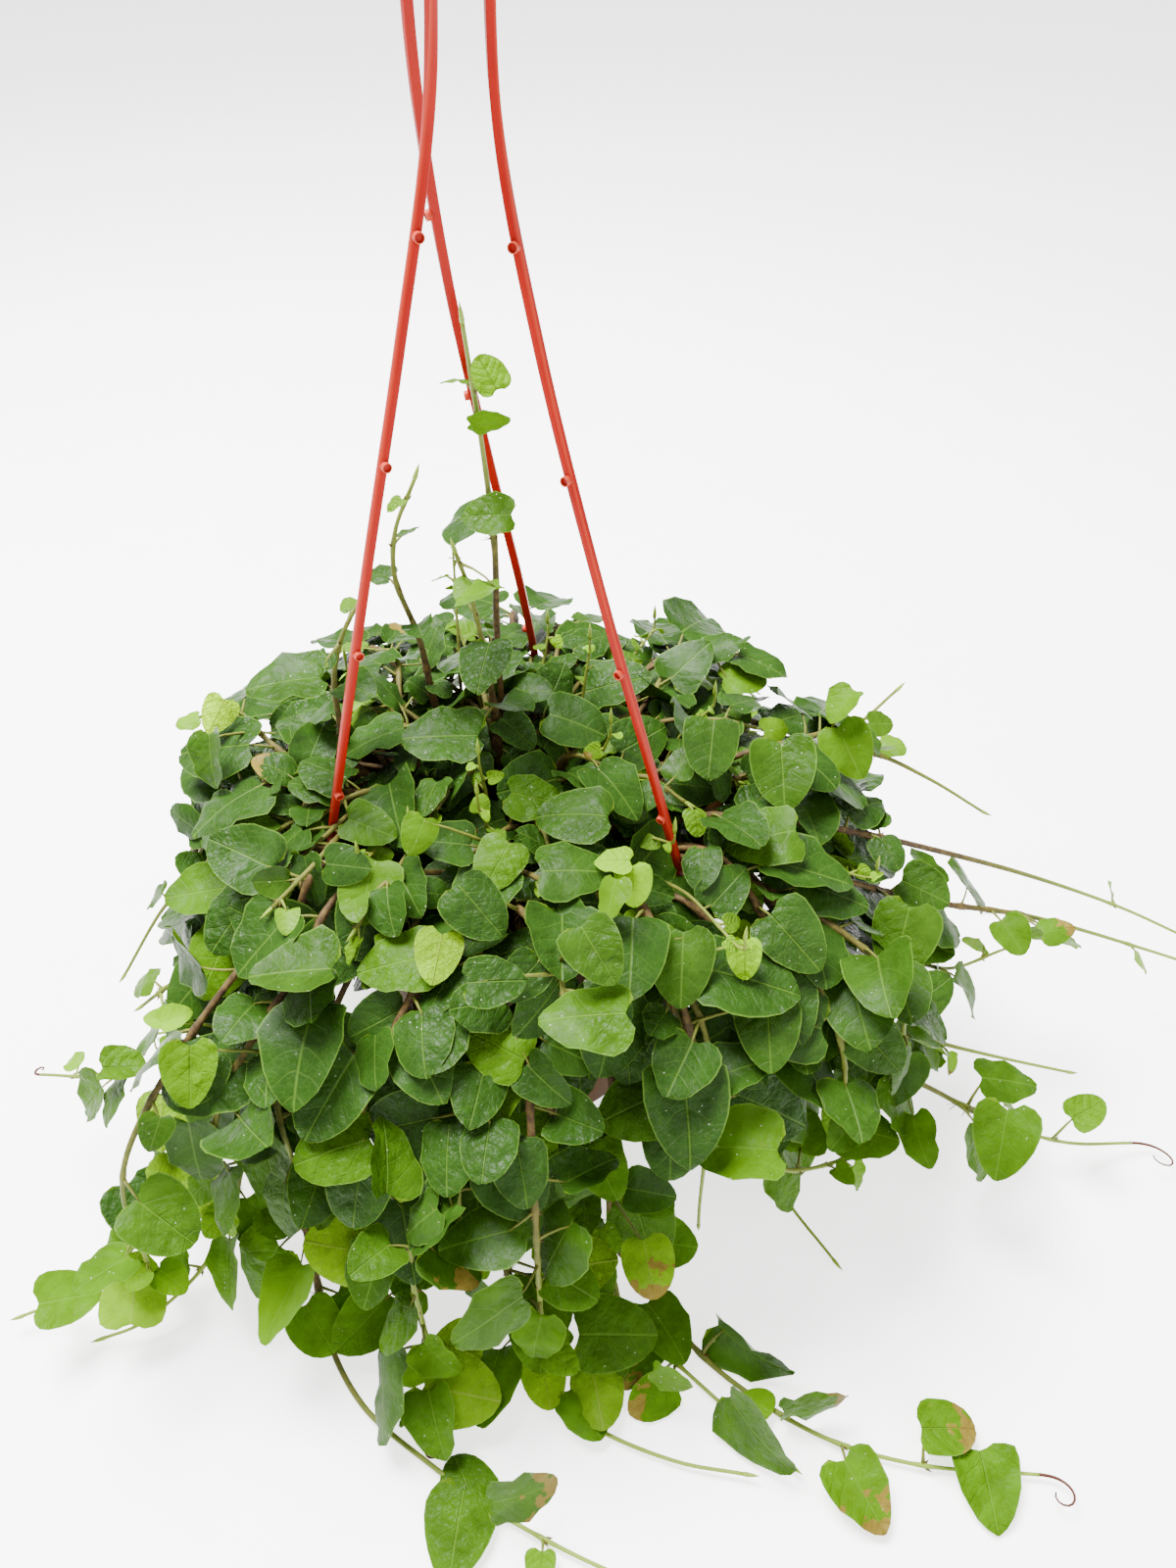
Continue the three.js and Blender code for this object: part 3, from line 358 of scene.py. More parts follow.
class Stem:
    """A stem's curve, its leaf places and its habit."""

    def __init__(self, name, key, habit, route):
        """Leaf places from the first to the bare tip. Each step is shorter by STEP_SHRINK times the
        share of the stem that lies behind it."""
        self.name, self.key = name, key
        self.leaf, first, step, self.bare = habit
        x, y, _ = route[0]
        self.curve = Curve([vec(x, y, SOIL_TOP - STEM_DEPTH)] + list(route))
        self.length = self.curve.length
        self.places = []
        s = STEM_DEPTH + first
        while s < self.length - self.bare:
            self.places.append(s)
            s += step * (1 - STEP_SHRINK * (s / self.length))
        self.leaves = []
        self.thick, self.young = 1.0, 0.0


def leaf_pose(stem, s, index, pose, size=1.0, loose=1.0, flat=0.0):
    """Where a leaf stands on a stem, at a length s along it. Its petiole leaves on alternate sides, and
    its face turns from upwards on the mound to outwards where the stem hangs. Pose 0 is the plain rule
    and each later one turns the leaf by its own draws, the further the looser it is. A flat leaf
    keeps its upward face where the stem hangs."""
    at, along = stem.curve.at(s)[0], stem.curve.way(s)[0]

    def turn(k):
        """A draw for this leaf and pose, 0 in pose 0."""
        return 0.0 if pose == 0 else loose * spread(stem.key, index, pose, k)

    def vary(k):
        """A draw for this leaf in every pose."""
        return spread(stem.key, index, k)

    side = unit(np.cross(along, SLANT)) * (1 if (index + stem.key) % 2 else -1)
    out = unit(vec(at[0], at[1], 0))
    hang = smooth(HANG_BELOW - at[2], 0, HANG_OVER) * smooth(at[2], LIE_BELOW, LIE_OVER)
    hang = hang * (1 - flat)
    normal = vec(0, 0, 1 - FACE_AIM["hanging_up"] * hang)
    normal = normal + out * (FACE_AIM["out"] + FACE_AIM["hanging_out"] * hang)
    normal = unit(normal + vec(vary(21), vary(22), 0) * FACE_AIM["stray"])
    petiole = unit(side * PETIOLE_AIM["side"]
                   + along * (PETIOLE_AIM["along"] + POSE_TURN["along"] * turn(31))
                   + normal * (PETIOLE_AIM["face"] + POSE_TURN["face"] * turn(32)))
    blade = (petiole * BLADE_AIM["petiole"] + along * BLADE_AIM["along"] + out * BLADE_AIM["out"]
             - vec(0, 0, BLADE_AIM["down"] + BLADE_AIM["hanging_down"] * hang))
    normal = turned(normal, unit(blade), POSE_TURN["roll"] * turn(33))
    normal = turned(normal, unit(np.cross(blade, normal)), POSE_TURN["pitch"] * turn(34))
    blade = unit(blade - normal * (blade @ normal))
    blade = turned(blade, normal, VARY["yaw"] * vary(23) + POSE_TURN["yaw"] * turn(35))
    share = s / (stem.length - stem.bare)
    taper = 1 - TAPER_BY * smooth(share, TAPER_FROM, 1)
    fit = 1 - POSE_TURN["shrink"] * pose / POSES
    length = size * stem.leaf * taper * fit * (1 + VARY["length"] * vary(24))
    stalk = (STALK_SHARE + POSE_TURN["stalk"] * turn(36)) * length
    return {"at": at, "petiole": petiole, "base": at + petiole * (STEM_R + stalk), "along": blade,
            "normal": normal, "across": np.cross(blade, normal), "length": length, "s": s,
            "width": length * LEAF_WIDTH * (1 + VARY["width"] * vary(25)), "share": share,
            "wave": 2 * math.pi * draw(stem.key, index, 26), "key": (stem.key, index)}


def blade_height(leaf, x, y):
    """Height over the blade's plane: folded up from the rib, drooping to the tip, waved at the edge."""
    edge = np.abs(x) * 2
    wave = np.sin(leaf["wave"] + 9 * y + np.where(x > 0, 0, 2))
    return (LEAF_FOLD * leaf["width"] * edge * 0.5 - LEAF_DROOP * leaf["length"] * y * y
            + LEAF_WAVE * leaf["length"] * edge * wave)


def blade_points(leaf, x, y, lift):
    """Points on the blade: base + across x width + along y length + normal (height + lift)."""
    height = blade_height(leaf, x, y) + lift
    return (leaf["base"] + np.outer(x * leaf["width"], leaf["across"])
            + np.outer(y * leaf["length"], leaf["along"]) + np.outer(height, leaf["normal"]))


def solid_corners(name):
    """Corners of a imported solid, in millimetres."""
    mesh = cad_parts[name].data
    co = np.empty(len(mesh.vertices) * 3, np.float32)
    mesh.vertices.foreach_get("co", co)
    return co.reshape(-1, 3).astype(float) / MM


def nearest(points, corners):
    """Distance from each point to the nearest corner."""
    return np.sqrt(((points[:, None] - corners[None]) ** 2).sum(2).min(1))


SAME_CORNER = 0.05


def solid_stems():
    """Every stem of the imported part. A drawn route's attempt and each leaf's pose are the ones whose
    tip is a corner of the solid."""
    stems = []
    for name, leaf, first, step, bare, route in LONG_STEMS:
        stems.append(Stem(name, len(stems), (leaf, first, step, bare), over_rim(route)))
    for label, count, route, habit in (("top", TOP_SHOOTS, top_route, TOP_HABIT),
                                       ("skirt", SKIRT_STEMS, skirt_route, SKIRT_HABIT)):
        for i in range(count):
            name = f"{label}_{i + 1}"
            if f"stem_{name}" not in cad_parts:
                continue
            corners = solid_corners(f"stem_{name}")
            trials = [Stem(name, len(stems), habit, route(i, a)) for a in range(ROUTE_TRIES)]
            ends = np.array([stem.curve.at(stem.length)[0] for stem in trials])
            off = np.abs(nearest(ends, corners) - TIP_R)
            stems.append(trials[int(np.argmin(off))])
    for stem in stems:
        corners = solid_corners(f"stem_{stem.name}")
        for index, s in enumerate(stem.places):
            poses = [leaf_pose(stem, s, index, pose) for pose in range(POSES)]
            tips = np.vstack([blade_points(p, vec(0), vec(1), BLADE / 2) for p in poses])
            off = nearest(tips, corners)
            if off.min() < SAME_CORNER:
                stem.leaves.append(poses[int(np.argmin(off))])
    return stems


# Meshes from arrays
def mark_margins(mesh, rim):
    """Sharp edges round every blade, between points of its rim."""
    ends = np.empty(len(mesh.edges) * 2, np.int32)
    mesh.edges.foreach_get("vertices", ends)
    sharp = rim[ends.reshape(-1, 2)].all(1)
    mesh.attributes.new("sharp_edge", "BOOLEAN", "EDGE").data.foreach_set("value", sharp)


class Shape:
    """Arrays that grow into one mesh. A face is four corner numbers, the last -1 on a triangle."""

    def __init__(self, name, materials, names=()):
        """No points yet. Each added body becomes one entry in every list."""
        self.name, self.materials = name, materials
        self.names = names
        self.points, self.faces, self.slots, self.maps, self.values = [], [], [], [], []
        self.rims = []
        self.count = 0

    def add(self, points, faces, material=0, uv=None, values=None, rim=False):
        """Adds points and faces, with a material and per point the map, the named values and whether
        it lies on a sharp rim."""
        n = len(points)
        self.points.append(points)
        self.faces.append(np.where(faces < 0, -1, faces + self.count))
        self.slots.append(np.broadcast_to(material, len(faces)))
        self.maps.append(np.zeros((n, 2)) if uv is None else uv)
        self.values.append(np.zeros((n, len(self.names))) if values is None
                           else np.broadcast_to(values, (n, len(self.names))))
        self.rims.append(np.broadcast_to(rim, n))
        self.count += n

    def make(self):
        """The mesh object, in metres, its place in its mesh."""
        points, faces = np.vstack(self.points) * MM, np.vstack(self.faces)
        corners = faces[faces >= 0].astype(np.int32)
        sizes = (faces >= 0).sum(1)
        mesh = bpy.data.meshes.new(self.name)
        mesh.vertices.add(len(points))
        mesh.vertices.foreach_set("co", points.astype(np.float32).ravel())
        mesh.loops.add(len(corners))
        mesh.loops.foreach_set("vertex_index", corners)
        mesh.polygons.add(len(faces))
        starts = np.concatenate([[0], np.cumsum(sizes)[:-1]]).astype(np.int32)
        mesh.polygons.foreach_set("loop_start", starts)
        mesh.polygons.foreach_set("material_index", np.concatenate(self.slots).astype(np.int32))
        mesh.polygons.foreach_set("use_smooth", np.ones(len(faces), bool))
        mesh.update(calc_edges=True)
        uv = np.vstack(self.maps)[corners]
        mesh.uv_layers.new(name="surface").data.foreach_set("uv", uv.astype(np.float32).ravel())
        values = np.vstack(self.values)
        for i, name in enumerate(self.names):
            layer = mesh.attributes.new(name, "FLOAT", "POINT")
            layer.data.foreach_set("value", values[:, i].astype(np.float32))
        rims = np.concatenate(self.rims)
        if rims.any():
            mark_margins(mesh, rims)
        for finish in self.materials:
            mesh.materials.append(finish)
        piece = bpy.data.objects.new(self.name, mesh)
        bpy.context.scene.collection.objects.link(piece)
        return piece


def grid_faces(rows, columns, close_rows=False, close_columns=False):
    """Quads of a grid of points numbered row by row, anticlockwise seen from above."""
    r = np.arange(rows if close_rows else rows - 1)
    c = np.arange(columns if close_columns else columns - 1)
    r, c = (a.ravel() for a in np.meshgrid(r, c, indexing="ij"))
    r2, c2 = (r + 1) % rows, (c + 1) % columns
    return np.stack([r * columns + c, r * columns + c2, r2 * columns + c2, r2 * columns + c], 1)


def carried_frames(line, start=None):
    """Unit tangents and two normals along a line of points, carried on with the least twist."""
    way = np.gradient(line, axis=0)
    way /= np.linalg.norm(way, axis=1, keepdims=True)
    normal = vec(0, 0, 1) if start is None else start
    if abs(normal @ way[0]) > 0.9:
        normal = vec(1, 0, 0)
    normals = np.empty_like(line)
    for i, t in enumerate(way):
        normal = unit(normal - t * (normal @ t))
        normals[i] = normal
    return way, normals, np.cross(way, normals)


def tube(line, radii, sides, start=None):
    """A closed tube: rings of radius r round each point of the line, and a fan to a point at each end."""
    _, n, b = carried_frames(line, start)
    a = np.arange(sides) * 2 * math.pi / sides
    ring = n[:, None] * np.cos(a)[None, :, None] + b[:, None] * np.sin(a)[None, :, None]
    points = line[:, None] + ring * np.asarray(radii, float)[:, None, None]
    return np.vstack([points.reshape(-1, 3), line[:1], line[-1:]]), closed_faces(len(line), sides)


def lathe(profile, sides):
    """A closed turned body. The profile's [radius, height] pairs run from one point of the axis to
    another, up the outside, and each but the ends is carried round the axis as a ring."""
    profile = np.asarray(profile, float)
    a = np.arange(sides) * 2 * math.pi / sides
    r, z = profile[1:-1, 0], profile[1:-1, 1]
    points = np.stack([np.outer(r, np.cos(a)), np.outer(r, np.sin(a)),
                       np.repeat(z[:, None], sides, 1)], 2).reshape(-1, 3)
    poles = np.stack([profile[[0, -1], 0] * 0, profile[[0, -1], 0] * 0, profile[[0, -1], 1]], 1)
    return np.vstack([points, poles]), closed_faces(len(r), sides)


def closed_faces(rows, sides):
    """Faces of rings with a fan to a pole at each end, whose numbers follow the rings'."""
    k = np.arange(sides)
    k2, none = (k + 1) % sides, np.full(sides, -1)
    last = (rows - 1) * sides
    low = np.stack([k2, k, np.full(sides, rows * sides), none], 1)
    high = np.stack([last + k, last + k2, np.full(sides, rows * sides + 1), none], 1)
    return np.vstack([grid_faces(rows, sides, close_columns=True), low, high])


def rounded(profile, radius, steps=4):
    """An open profile with each inner corner cut back by up to a radius and bowed as a parabola."""
    p = np.asarray(profile, float)
    out = [p[0]]
    for before, corner, after in zip(p[:-2], p[1:-1], p[2:]):
        to_before, to_after = before - corner, after - corner
        cut = min(radius, np.linalg.norm(to_before) * 0.45, np.linalg.norm(to_after) * 0.45)
        a, b = corner + unit(to_before) * cut, corner + unit(to_after) * cut
        t = np.linspace(0, 1, steps)[:, None]
        out.extend(a * (1 - t) ** 2 + corner * 2 * t * (1 - t) + b * t ** 2)
    return np.array(out + [p[-1]])


# Materials
def linear(hexadecimal):
    """An sRGB hex colour as linear red, green, blue and alpha 1."""
    c = np.array([int(hexadecimal[i:i + 2], 16) for i in (0, 2, 4)]) / 255
    c = np.where(c <= 0.04045, c / 12.92, ((c + 0.055) / 1.055) ** 2.4)
    return (*c, 1.0)


class Finish:
    """A material while it is made. Its methods add nodes and give back a socket of each. What they
    take is a value or another node's socket, and grains are in millimetres."""

    def __init__(self, name, **sockets):
        """A new material, with values on the shader's own sockets."""
        self.made = bpy.data.materials.new(name)
        self.made.use_nodes = True
        self.tree = self.made.node_tree
        self.shader = self.tree.nodes["Principled BSDF"]
        for key, value in sockets.items():
            self.shader.inputs[key.replace("_", " ")].default_value = value
        self.where = self.add("TexCoord", out="Object")

    def add(self, kind, inputs=None, out=0, **settings):
        """Adds a node with its settings. An input goes by name or number."""
        node = self.tree.nodes.new("ShaderNode" + kind)
        for key, value in settings.items():
            setattr(node, key, value)
        for key, value in (inputs or {}).items():
            if isinstance(value, bpy.types.NodeSocket):
                self.tree.links.new(value, node.inputs[key])
            else:
                node.inputs[key].default_value = value
        return node.outputs[out]

    def values(self, names):
        """The values that the mesh carries under some names."""
        return [self.add("Attribute", out="Fac", attribute_name=name) for name in names]

    def noise(self, grain, detail, rough=0.5):
        """Cloudy noise."""
        return self.add("TexNoise", {"Vector": self.where, "Scale": 1 / (grain * MM), "Detail": detail,
                                     "Roughness": rough})

    def cells(self, grain, **settings):
        """How far the nearest of many scattered points is, or the border between two."""
        return self.add("TexVoronoi", {"Vector": self.where, "Scale": 1 / (grain * MM)}, "Distance",
                        **settings)

    def compute(self, operation, *values):
        """One step of arithmetic."""
        return self.add("Math", dict(enumerate(values)), operation=operation)

    def eased(self, value, low, high, start=0.0, end=1.0):
        """start below low, end above high and a smooth step between them."""
        return self.add("MapRange", {0: value, 1: low, 2: high, 3: start, 4: end},
                        interpolation_type="SMOOTHSTEP")

    def mix(self, share, first, second, kind="MIX"):
        """The first colour turned to the second by a share, or multiplied by it."""
        return self.add("Mix", {0: share, 6: first, 7: second}, 2, data_type="RGBA", blend_type=kind)

    def bump(self, height, strength, depth):
        """A relief of a depth in millimetres."""
        return self.add("Bump", {"Height": height, "Strength": strength, "Distance": depth * MM})

    def link(self, **sockets):
        """Feeds the shader's own sockets and gives back the material."""
        for key, value in sockets.items():
            self.tree.links.new(value, self.shader.inputs[key.replace("_", " ")])
        return self.made


LEAFY_VALUES = ("youth", "light", "age", "edge")
VEIN_PAIRS = 4.2
# How much of a blade lets light through
THIN_SHARE = 0.33
# Colours painted for shade and for light, then young, and the colour of veins and margin
LEAF_COLORS = {
    "fig_leaf_top": ("274511", "466d03", "74a400", "6c9033"),
    "fig_leaf_underside": ("4a7208", "6c9804", "98c404", "84963c")}
VEIN_SHOW = {"fig_leaf_top": 0.3, "fig_leaf_underside": 0.55}
NET_SHOW = {"fig_leaf_top": 0.22, "fig_leaf_underside": 0.45}
RELIEF_WAY = {"fig_leaf_top": 1.0, "fig_leaf_underside": -1.0}


def leaf_material(name):
    """Fig leaf: a leathery blade, quilted between sunken veins on top and net-veined beneath. To the
    eye it is a soft wax sheen on mottled green, a thin pale margin and dried water specks. The leaves
    painted paler by their light value, low on the mound, have less of the wax."""
    leaf = Finish(name)
    shaded, lit, young, line = (linear(c) for c in LEAF_COLORS[name])
    uv = leaf.add("UVMap", uv_map="surface")
    x, y = (leaf.add("SeparateXYZ", {0: uv}, i) for i in (0, 1))
    youth, light, age, edge = leaf.values(LEAFY_VALUES)
    across = leaf.compute("MULTIPLY_ADD", x, 2.0, -1.0)
    across = leaf.compute("ABSOLUTE", across)
    # A side vein leaves the rib forwards, wanders a little and bends further towards the margin
    wander = leaf.noise(11, 1.0)
    y_bent = leaf.compute("MULTIPLY_ADD", wander, 0.22, y)
    slant = leaf.compute("MULTIPLY_ADD", across, 0.2, 0.2)
    slant = leaf.compute("MULTIPLY", across, slant)
    order = leaf.compute("SUBTRACT", y_bent, slant)
    order = leaf.compute("MULTIPLY", order, VEIN_PAIRS)
    off_vein = leaf.compute("PINGPONG", order, 0.5)
    rib = leaf.eased(across, 0.01, 0.05, 1.0, 0.0)
    side = leaf.eased(off_vein, 0.01, 0.05, 1.0, 0.0)
    reach = leaf.eased(across, 0.1, 1.0, 0.55, 0.1)
    side = leaf.compute("MULTIPLY", side, reach)
    mesh = leaf.cells(2.1, feature="DISTANCE_TO_EDGE")
    mesh = leaf.eased(mesh, 0.0, 0.09, NET_SHOW[name], 0.0)
    veins = leaf.compute("MAXIMUM", rib, side)
    veins = leaf.compute("MAXIMUM", veins, mesh)
    # Painted light and shade: each leaf's light value turns it from the shaded colour to the lit one
    color = leaf.mix(light, shaded, lit)
    clouds = leaf.noise(9, 4.0, 0.6)
    mottle = leaf.eased(clouds, 0.3, 0.75, 0.78, 1.22)
    mottle = leaf.add("CombineColor", {0: mottle, 1: mottle, 2: mottle})
    color = leaf.mix(1.0, color, mottle, "MULTIPLY")
    color = leaf.mix(youth, color, young)
    show = leaf.compute("MULTIPLY", veins, VEIN_SHOW[name])
    color = leaf.mix(show, color, line)
    margin = leaf.eased(edge, 0.94, 1.0, 0.0, 0.5)
    color = leaf.mix(margin, color, line)
    # Old leaves brown from the tip inwards, with an uneven border
    patch = leaf.noise(5, 2.0)
    patch = leaf.compute("MULTIPLY_ADD", y, 0.5, patch)
    patch = leaf.eased(patch, 0.83, 0.88)
    patch = leaf.compute("MULTIPLY", patch, age)
    dry = leaf.mix(clouds, linear("54420f"), linear("94843a"))
    color = leaf.mix(patch, color, dry)
    # The blade swells between its veins, to one side on top and to the other beneath
    quilt = leaf.compute("MULTIPLY", off_vein, math.pi)
    quilt = leaf.compute("SINE", quilt)
    relief = leaf.compute("MULTIPLY", quilt, 0.18)
    groove = leaf.compute("MULTIPLY", veins, 0.5)
    relief = leaf.compute("SUBTRACT", relief, groove)
    relief = leaf.compute("MULTIPLY", relief, RELIEF_WAY[name])
    pucker = leaf.noise(4.5, 2.0)
    relief = leaf.compute("MULTIPLY_ADD", pucker, 2.0, relief)
    rough = leaf.noise(35, 1.0)
    rough = leaf.eased(rough, 0.4, 0.62, 0.3, 1.0)
    bump = leaf.bump(relief, rough, 0.9)
    shine = leaf.noise(6, 3.0)
    shine = leaf.eased(shine, 0.3, 0.7, 0.3, 0.46)
    if name == "fig_leaf_top":
        # Dried drops of hard water, each under a millimetre across, on some of the leaves
        drops = leaf.eased(leaf.cells(3.6), 0.05, 0.08, 0.7, 0.0)
        where_wet = leaf.eased(leaf.noise(30, 1.0), 0.46, 0.56)
        drops = leaf.compute("MULTIPLY", drops, where_wet)
        color = leaf.mix(drops, color, linear("bcc6aa"))
    wax = leaf.add("MapRange", {0: light, 1: 0.0, 2: 1.0, 3: 0.11, 4: 0.04})
    leaf.link(Base_Color=color, Roughness=shine, Specular_IOR_Level=wax, Normal=bump)
    # Light that falls through the blade comes out yellow green
    through = leaf.mix(1.0, color, linear("f4ff80"), "MULTIPLY")
    glow = leaf.add("BsdfTranslucent", {"Color": through, "Normal": bump})
    blend = leaf.add("MixShader", {0: THIN_SHARE, 1: leaf.shader.outputs[0], 2: glow})
    leaf.tree.links.new(blend, leaf.tree.nodes["Material Output"].inputs["Surface"])
    return leaf.made


def stem_material():
    """Fig stem: smooth olive-green shoots that turn to ridged brown bark as they age, with red-brown
    scales at the nodes."""
    bark = Finish("fig_stem_bark", Specular_IOR_Level=0.2)
    youth, age = bark.values(("youth", "age"))
    streaks = bark.noise(3, 4.0, 0.65)
    share = bark.eased(streaks, 0.3, 0.7)
    color = bark.mix(share, linear("2c1c0e"), linear("54431e"))
    color = bark.mix(youth, color, linear("6f8626"))
    color = bark.mix(age, color, linear("3f1d0d"))
    bump = bark.bump(streaks, 0.5, 0.25)
    smoother = bark.eased(youth, 0.0, 1.0, 0.7, 0.45)
    return bark.link(Base_Color=color, Roughness=smoother, Normal=bump)


def plastic_material(name, main, cloudy, highlight_color, gloss, sheen, grain):
    """Moulded polypropylene: one even colour, a little chalky where it is handled, with a painted
    highlight along the edges that the mesh marks, and a faint flow grain that breaks up its satin sheen."""
    plastic = Finish(name, Specular_IOR_Level=gloss)
    clouds = plastic.noise(26, 3.0, 0.6)
    share = plastic.eased(clouds, 0.35, 0.75)
    color = plastic.mix(share, linear(main), linear(cloudy))
    # Painted highlight: a paler colour by the share that the mesh carries
    blend, = plastic.values(("painted_highlight",))
    color = plastic.mix(blend, color, linear(highlight_color))
    bump = plastic.bump(plastic.noise(grain, 3.0, 0.6), 0.25, 0.12)
    rough = plastic.eased(clouds, 0.3, 0.7, sheen, sheen + 0.14)
    return plastic.link(Base_Color=color, Roughness=rough, Normal=bump)


def soil_material():
    """Moist peat compost: near black brown with lighter fibres and a few pale grains."""
    peat = Finish("peat_compost", Specular_IOR_Level=0.15, Roughness=0.95)
    share = peat.eased(peat.noise(6, 5.0, 0.7), 0.35, 0.7)
    color = peat.mix(share, linear("170f0a"), linear("3f2e1f"))
    grains = peat.eased(peat.cells(5), 0.1, 0.16, 0.5, 0.0)
    color = peat.mix(grains, color, linear("857358"))
    bump = peat.bump(peat.noise(2, 5.0, 0.7), 0.9, 1.2)
    return peat.link(Base_Color=color, Normal=bump)


LEAF_TOP = leaf_material("fig_leaf_top")
LEAF_UNDER = leaf_material("fig_leaf_underside")
STEM_BARK = stem_material()
# Each plastic's third colour is its painted highlight; only the hanger's arms carry a share of it
POT_PLASTIC = plastic_material("terracotta_polypropylene", "3c240a", "462a0e", "5a3b1a",
                               gloss=0.05, sheen=0.6, grain=1.5)
HANGER_PLASTIC = plastic_material("orange_red_polypropylene", "820b02", "8c1204", "c4543a",
                                  gloss=0.1, sheen=0.34, grain=1.2)
PEAT = soil_material()
LEAFY = [STEM_BARK, LEAF_TOP, LEAF_UNDER]


# Rows from base to tip: height of the rib, then across and height of the margin, as shares of width
# and length, for a rounded leaf and for a pointed heart. The first row is the notch at the petiole.
ROUND_ROWS = np.array([
    (0.00, 0.20, -0.075), (0.02, 0.36, -0.05), (0.08, 0.47, 0.03), (0.19, 0.525, 0.165),
    (0.34, 0.535, 0.33), (0.50, 0.51, 0.505), (0.66, 0.45, 0.675), (0.80, 0.355, 0.815),
    (0.92, 0.22, 0.925), (0.985, 0.075, 0.985)])
HEART_ROWS = np.array([
    (0.00, 0.22, -0.11), (0.02, 0.38, -0.075), (0.08, 0.49, 0.01), (0.19, 0.525, 0.15),
    (0.34, 0.505, 0.32), (0.50, 0.455, 0.50), (0.66, 0.37, 0.665), (0.80, 0.265, 0.82),
    (0.92, 0.145, 0.935), (1.00, 0.03, 1.00)])
LEAF_COLUMNS = np.array([-1, -0.5, 0, 0.5, 1])
# Against the solids' leaves the fine ones are a little broader and shorter
LEAF_BROAD = 1.07
LEAF_TRIM = 0.93
LEAF_HALF = 0.2
RUFFLE = 0.03
CURL = 0.13
STEM_SIDES = 8
RING_STEP = 3.0
# The bark is this much thinner than the solid's stem, and swells at a leaf
BARK_R = STEM_R * 0.95
BARK_TIP_R = TIP_R * 0.9
KNOT_RISE = 0.35
KNOT_LENGTH = 2.2
PETIOLE_RADII = [0.75, 0.55, 0.45, 0.3]
# Scales and rootlets: least length and how much longer a draw makes them, radii, and their age
SCALE_LENGTH = (1.8, 1.0)
SCALE_RADII = [0.42, 0.55, 0.05]
ROOTLET_LENGTH = (2.0, 3.0)
ROOTLET_RADII = [0.22, 0.16, 0.05]
ROOTLETS = 3
BROWN = 0.9
BUD_RADII = [0.55, 0.8, 0.6, 0.06]
BUD_LENGTH = 6.0
THREAD_TURN = 5
LEAF_SIZE = (len(ROUND_ROWS), len(LEAF_COLUMNS))


def leaf_grid():
    """Faces of a closed blade: the top's grid, and under it a second sheet that shares its margin."""
    rows, columns = LEAF_SIZE
    top = grid_faces(rows, columns)
    number = np.arange(rows * columns).reshape(rows, columns)
    inner = number[1:-1, 1:-1].ravel()
    under = number.ravel().copy()
    under[inner] = rows * columns + np.arange(len(inner))
    return top, under[top[:, [0, 3, 2, 1]]], inner


LEAF_TOP_FACES, LEAF_UNDER_FACES, LEAF_INNER = leaf_grid()
LEAF_RIM = np.zeros(LEAF_SIZE[0] * LEAF_SIZE[1] + len(LEAF_INNER), bool)
LEAF_RIM[:LEAF_SIZE[0] * LEAF_SIZE[1]] = True
LEAF_RIM[LEAF_INNER] = False


def over_table(z):
    """Heights kept over the table: below 0.6 mm a height z becomes 0.5 + z / 6."""
    return np.maximum(z, 0.5 + z / 6)


def add_blade(shape, leaf, youth, light, age):
    """A closed thin blade: x = column * margin, y = rib + (margin - rib)|column|^1.5, on the blade's
    height with a finer ruffle at the margin and a curl by x^2 and by (y - 0.3)^2. Its two faces part
    inside and meet at the margin."""
    k1, k2 = leaf["key"]
    leaf = {**leaf, "length": leaf["length"] * LEAF_TRIM}
    heart = draw(k1, k2, 53)
    rows = ROUND_ROWS + (HEART_ROWS - ROUND_ROWS) * heart
    rib, mx, my = (rows[:, i][:, None] for i in range(3))
    u = LEAF_COLUMNS[None]
    lobes = 0.65 + 0.7 * draw(k1, k2, 51)
    my = np.where(my < 0, my * lobes, my)
    lean = 1 + 0.07 * spread(k1, k2, 52) * np.sign(u)
    x = (u * mx * lean * LEAF_BROAD).ravel()
    y = (rib + (my - rib) * np.abs(u) ** 1.5).ravel()
    edge = np.broadcast_to(np.abs(u), LEAF_SIZE).copy()
    edge[[0, -1]] = np.maximum(edge[[0, -1]], 0.9)
    edge = edge.ravel()
    ruffle = np.sin(1.7 * leaf["wave"] + 15 * y + 1.9 * np.sign(x)) * edge ** 2
    curl = CURL * spread(k1, k2, 54) * x * x * 4 + CURL * spread(k1, k2, 55) * (y - 0.3) ** 2
    ruffle = (ruffle * RUFFLE + curl) * leaf["length"]
    half = np.zeros(len(x))
    half[LEAF_INNER] = LEAF_HALF
    top = blade_points(leaf, x, y, ruffle + half)
    low = blade_points(leaf, x, y, ruffle - half)[LEAF_INNER]
    uv = np.stack([0.5 + x / LEAF_BROAD, y], 1)
    values = np.stack([np.full(len(x), v) for v in (youth, light, age)] + [edge], 1)
    points = np.vstack([top, low])
    points[:, 2] = over_table(points[:, 2])
    uv, values = np.vstack([uv, uv[LEAF_INNER]]), np.vstack([values, values[LEAF_INNER]])
    shape.add(points, np.vstack([LEAF_TOP_FACES, LEAF_UNDER_FACES]),
              np.repeat([1, 2], len(LEAF_TOP_FACES)), uv, values, LEAF_RIM)


def add_tube(shape, line, radii, sides, youth, age=0.0, start=None):
    """A closed tube in the bark's material, with a youth for each ring."""
    points, faces = tube(np.asarray(line, float), radii, sides, start)
    points[:, 2] = over_table(points[:, 2])
    youth = np.broadcast_to(youth, len(line))
    per_point = np.concatenate([np.repeat(youth, sides), youth[:1], youth[-1:]])
    none = np.zeros(len(points))
    shape.add(points, faces, 0, None, np.stack([per_point, none, none + age, none], 1))


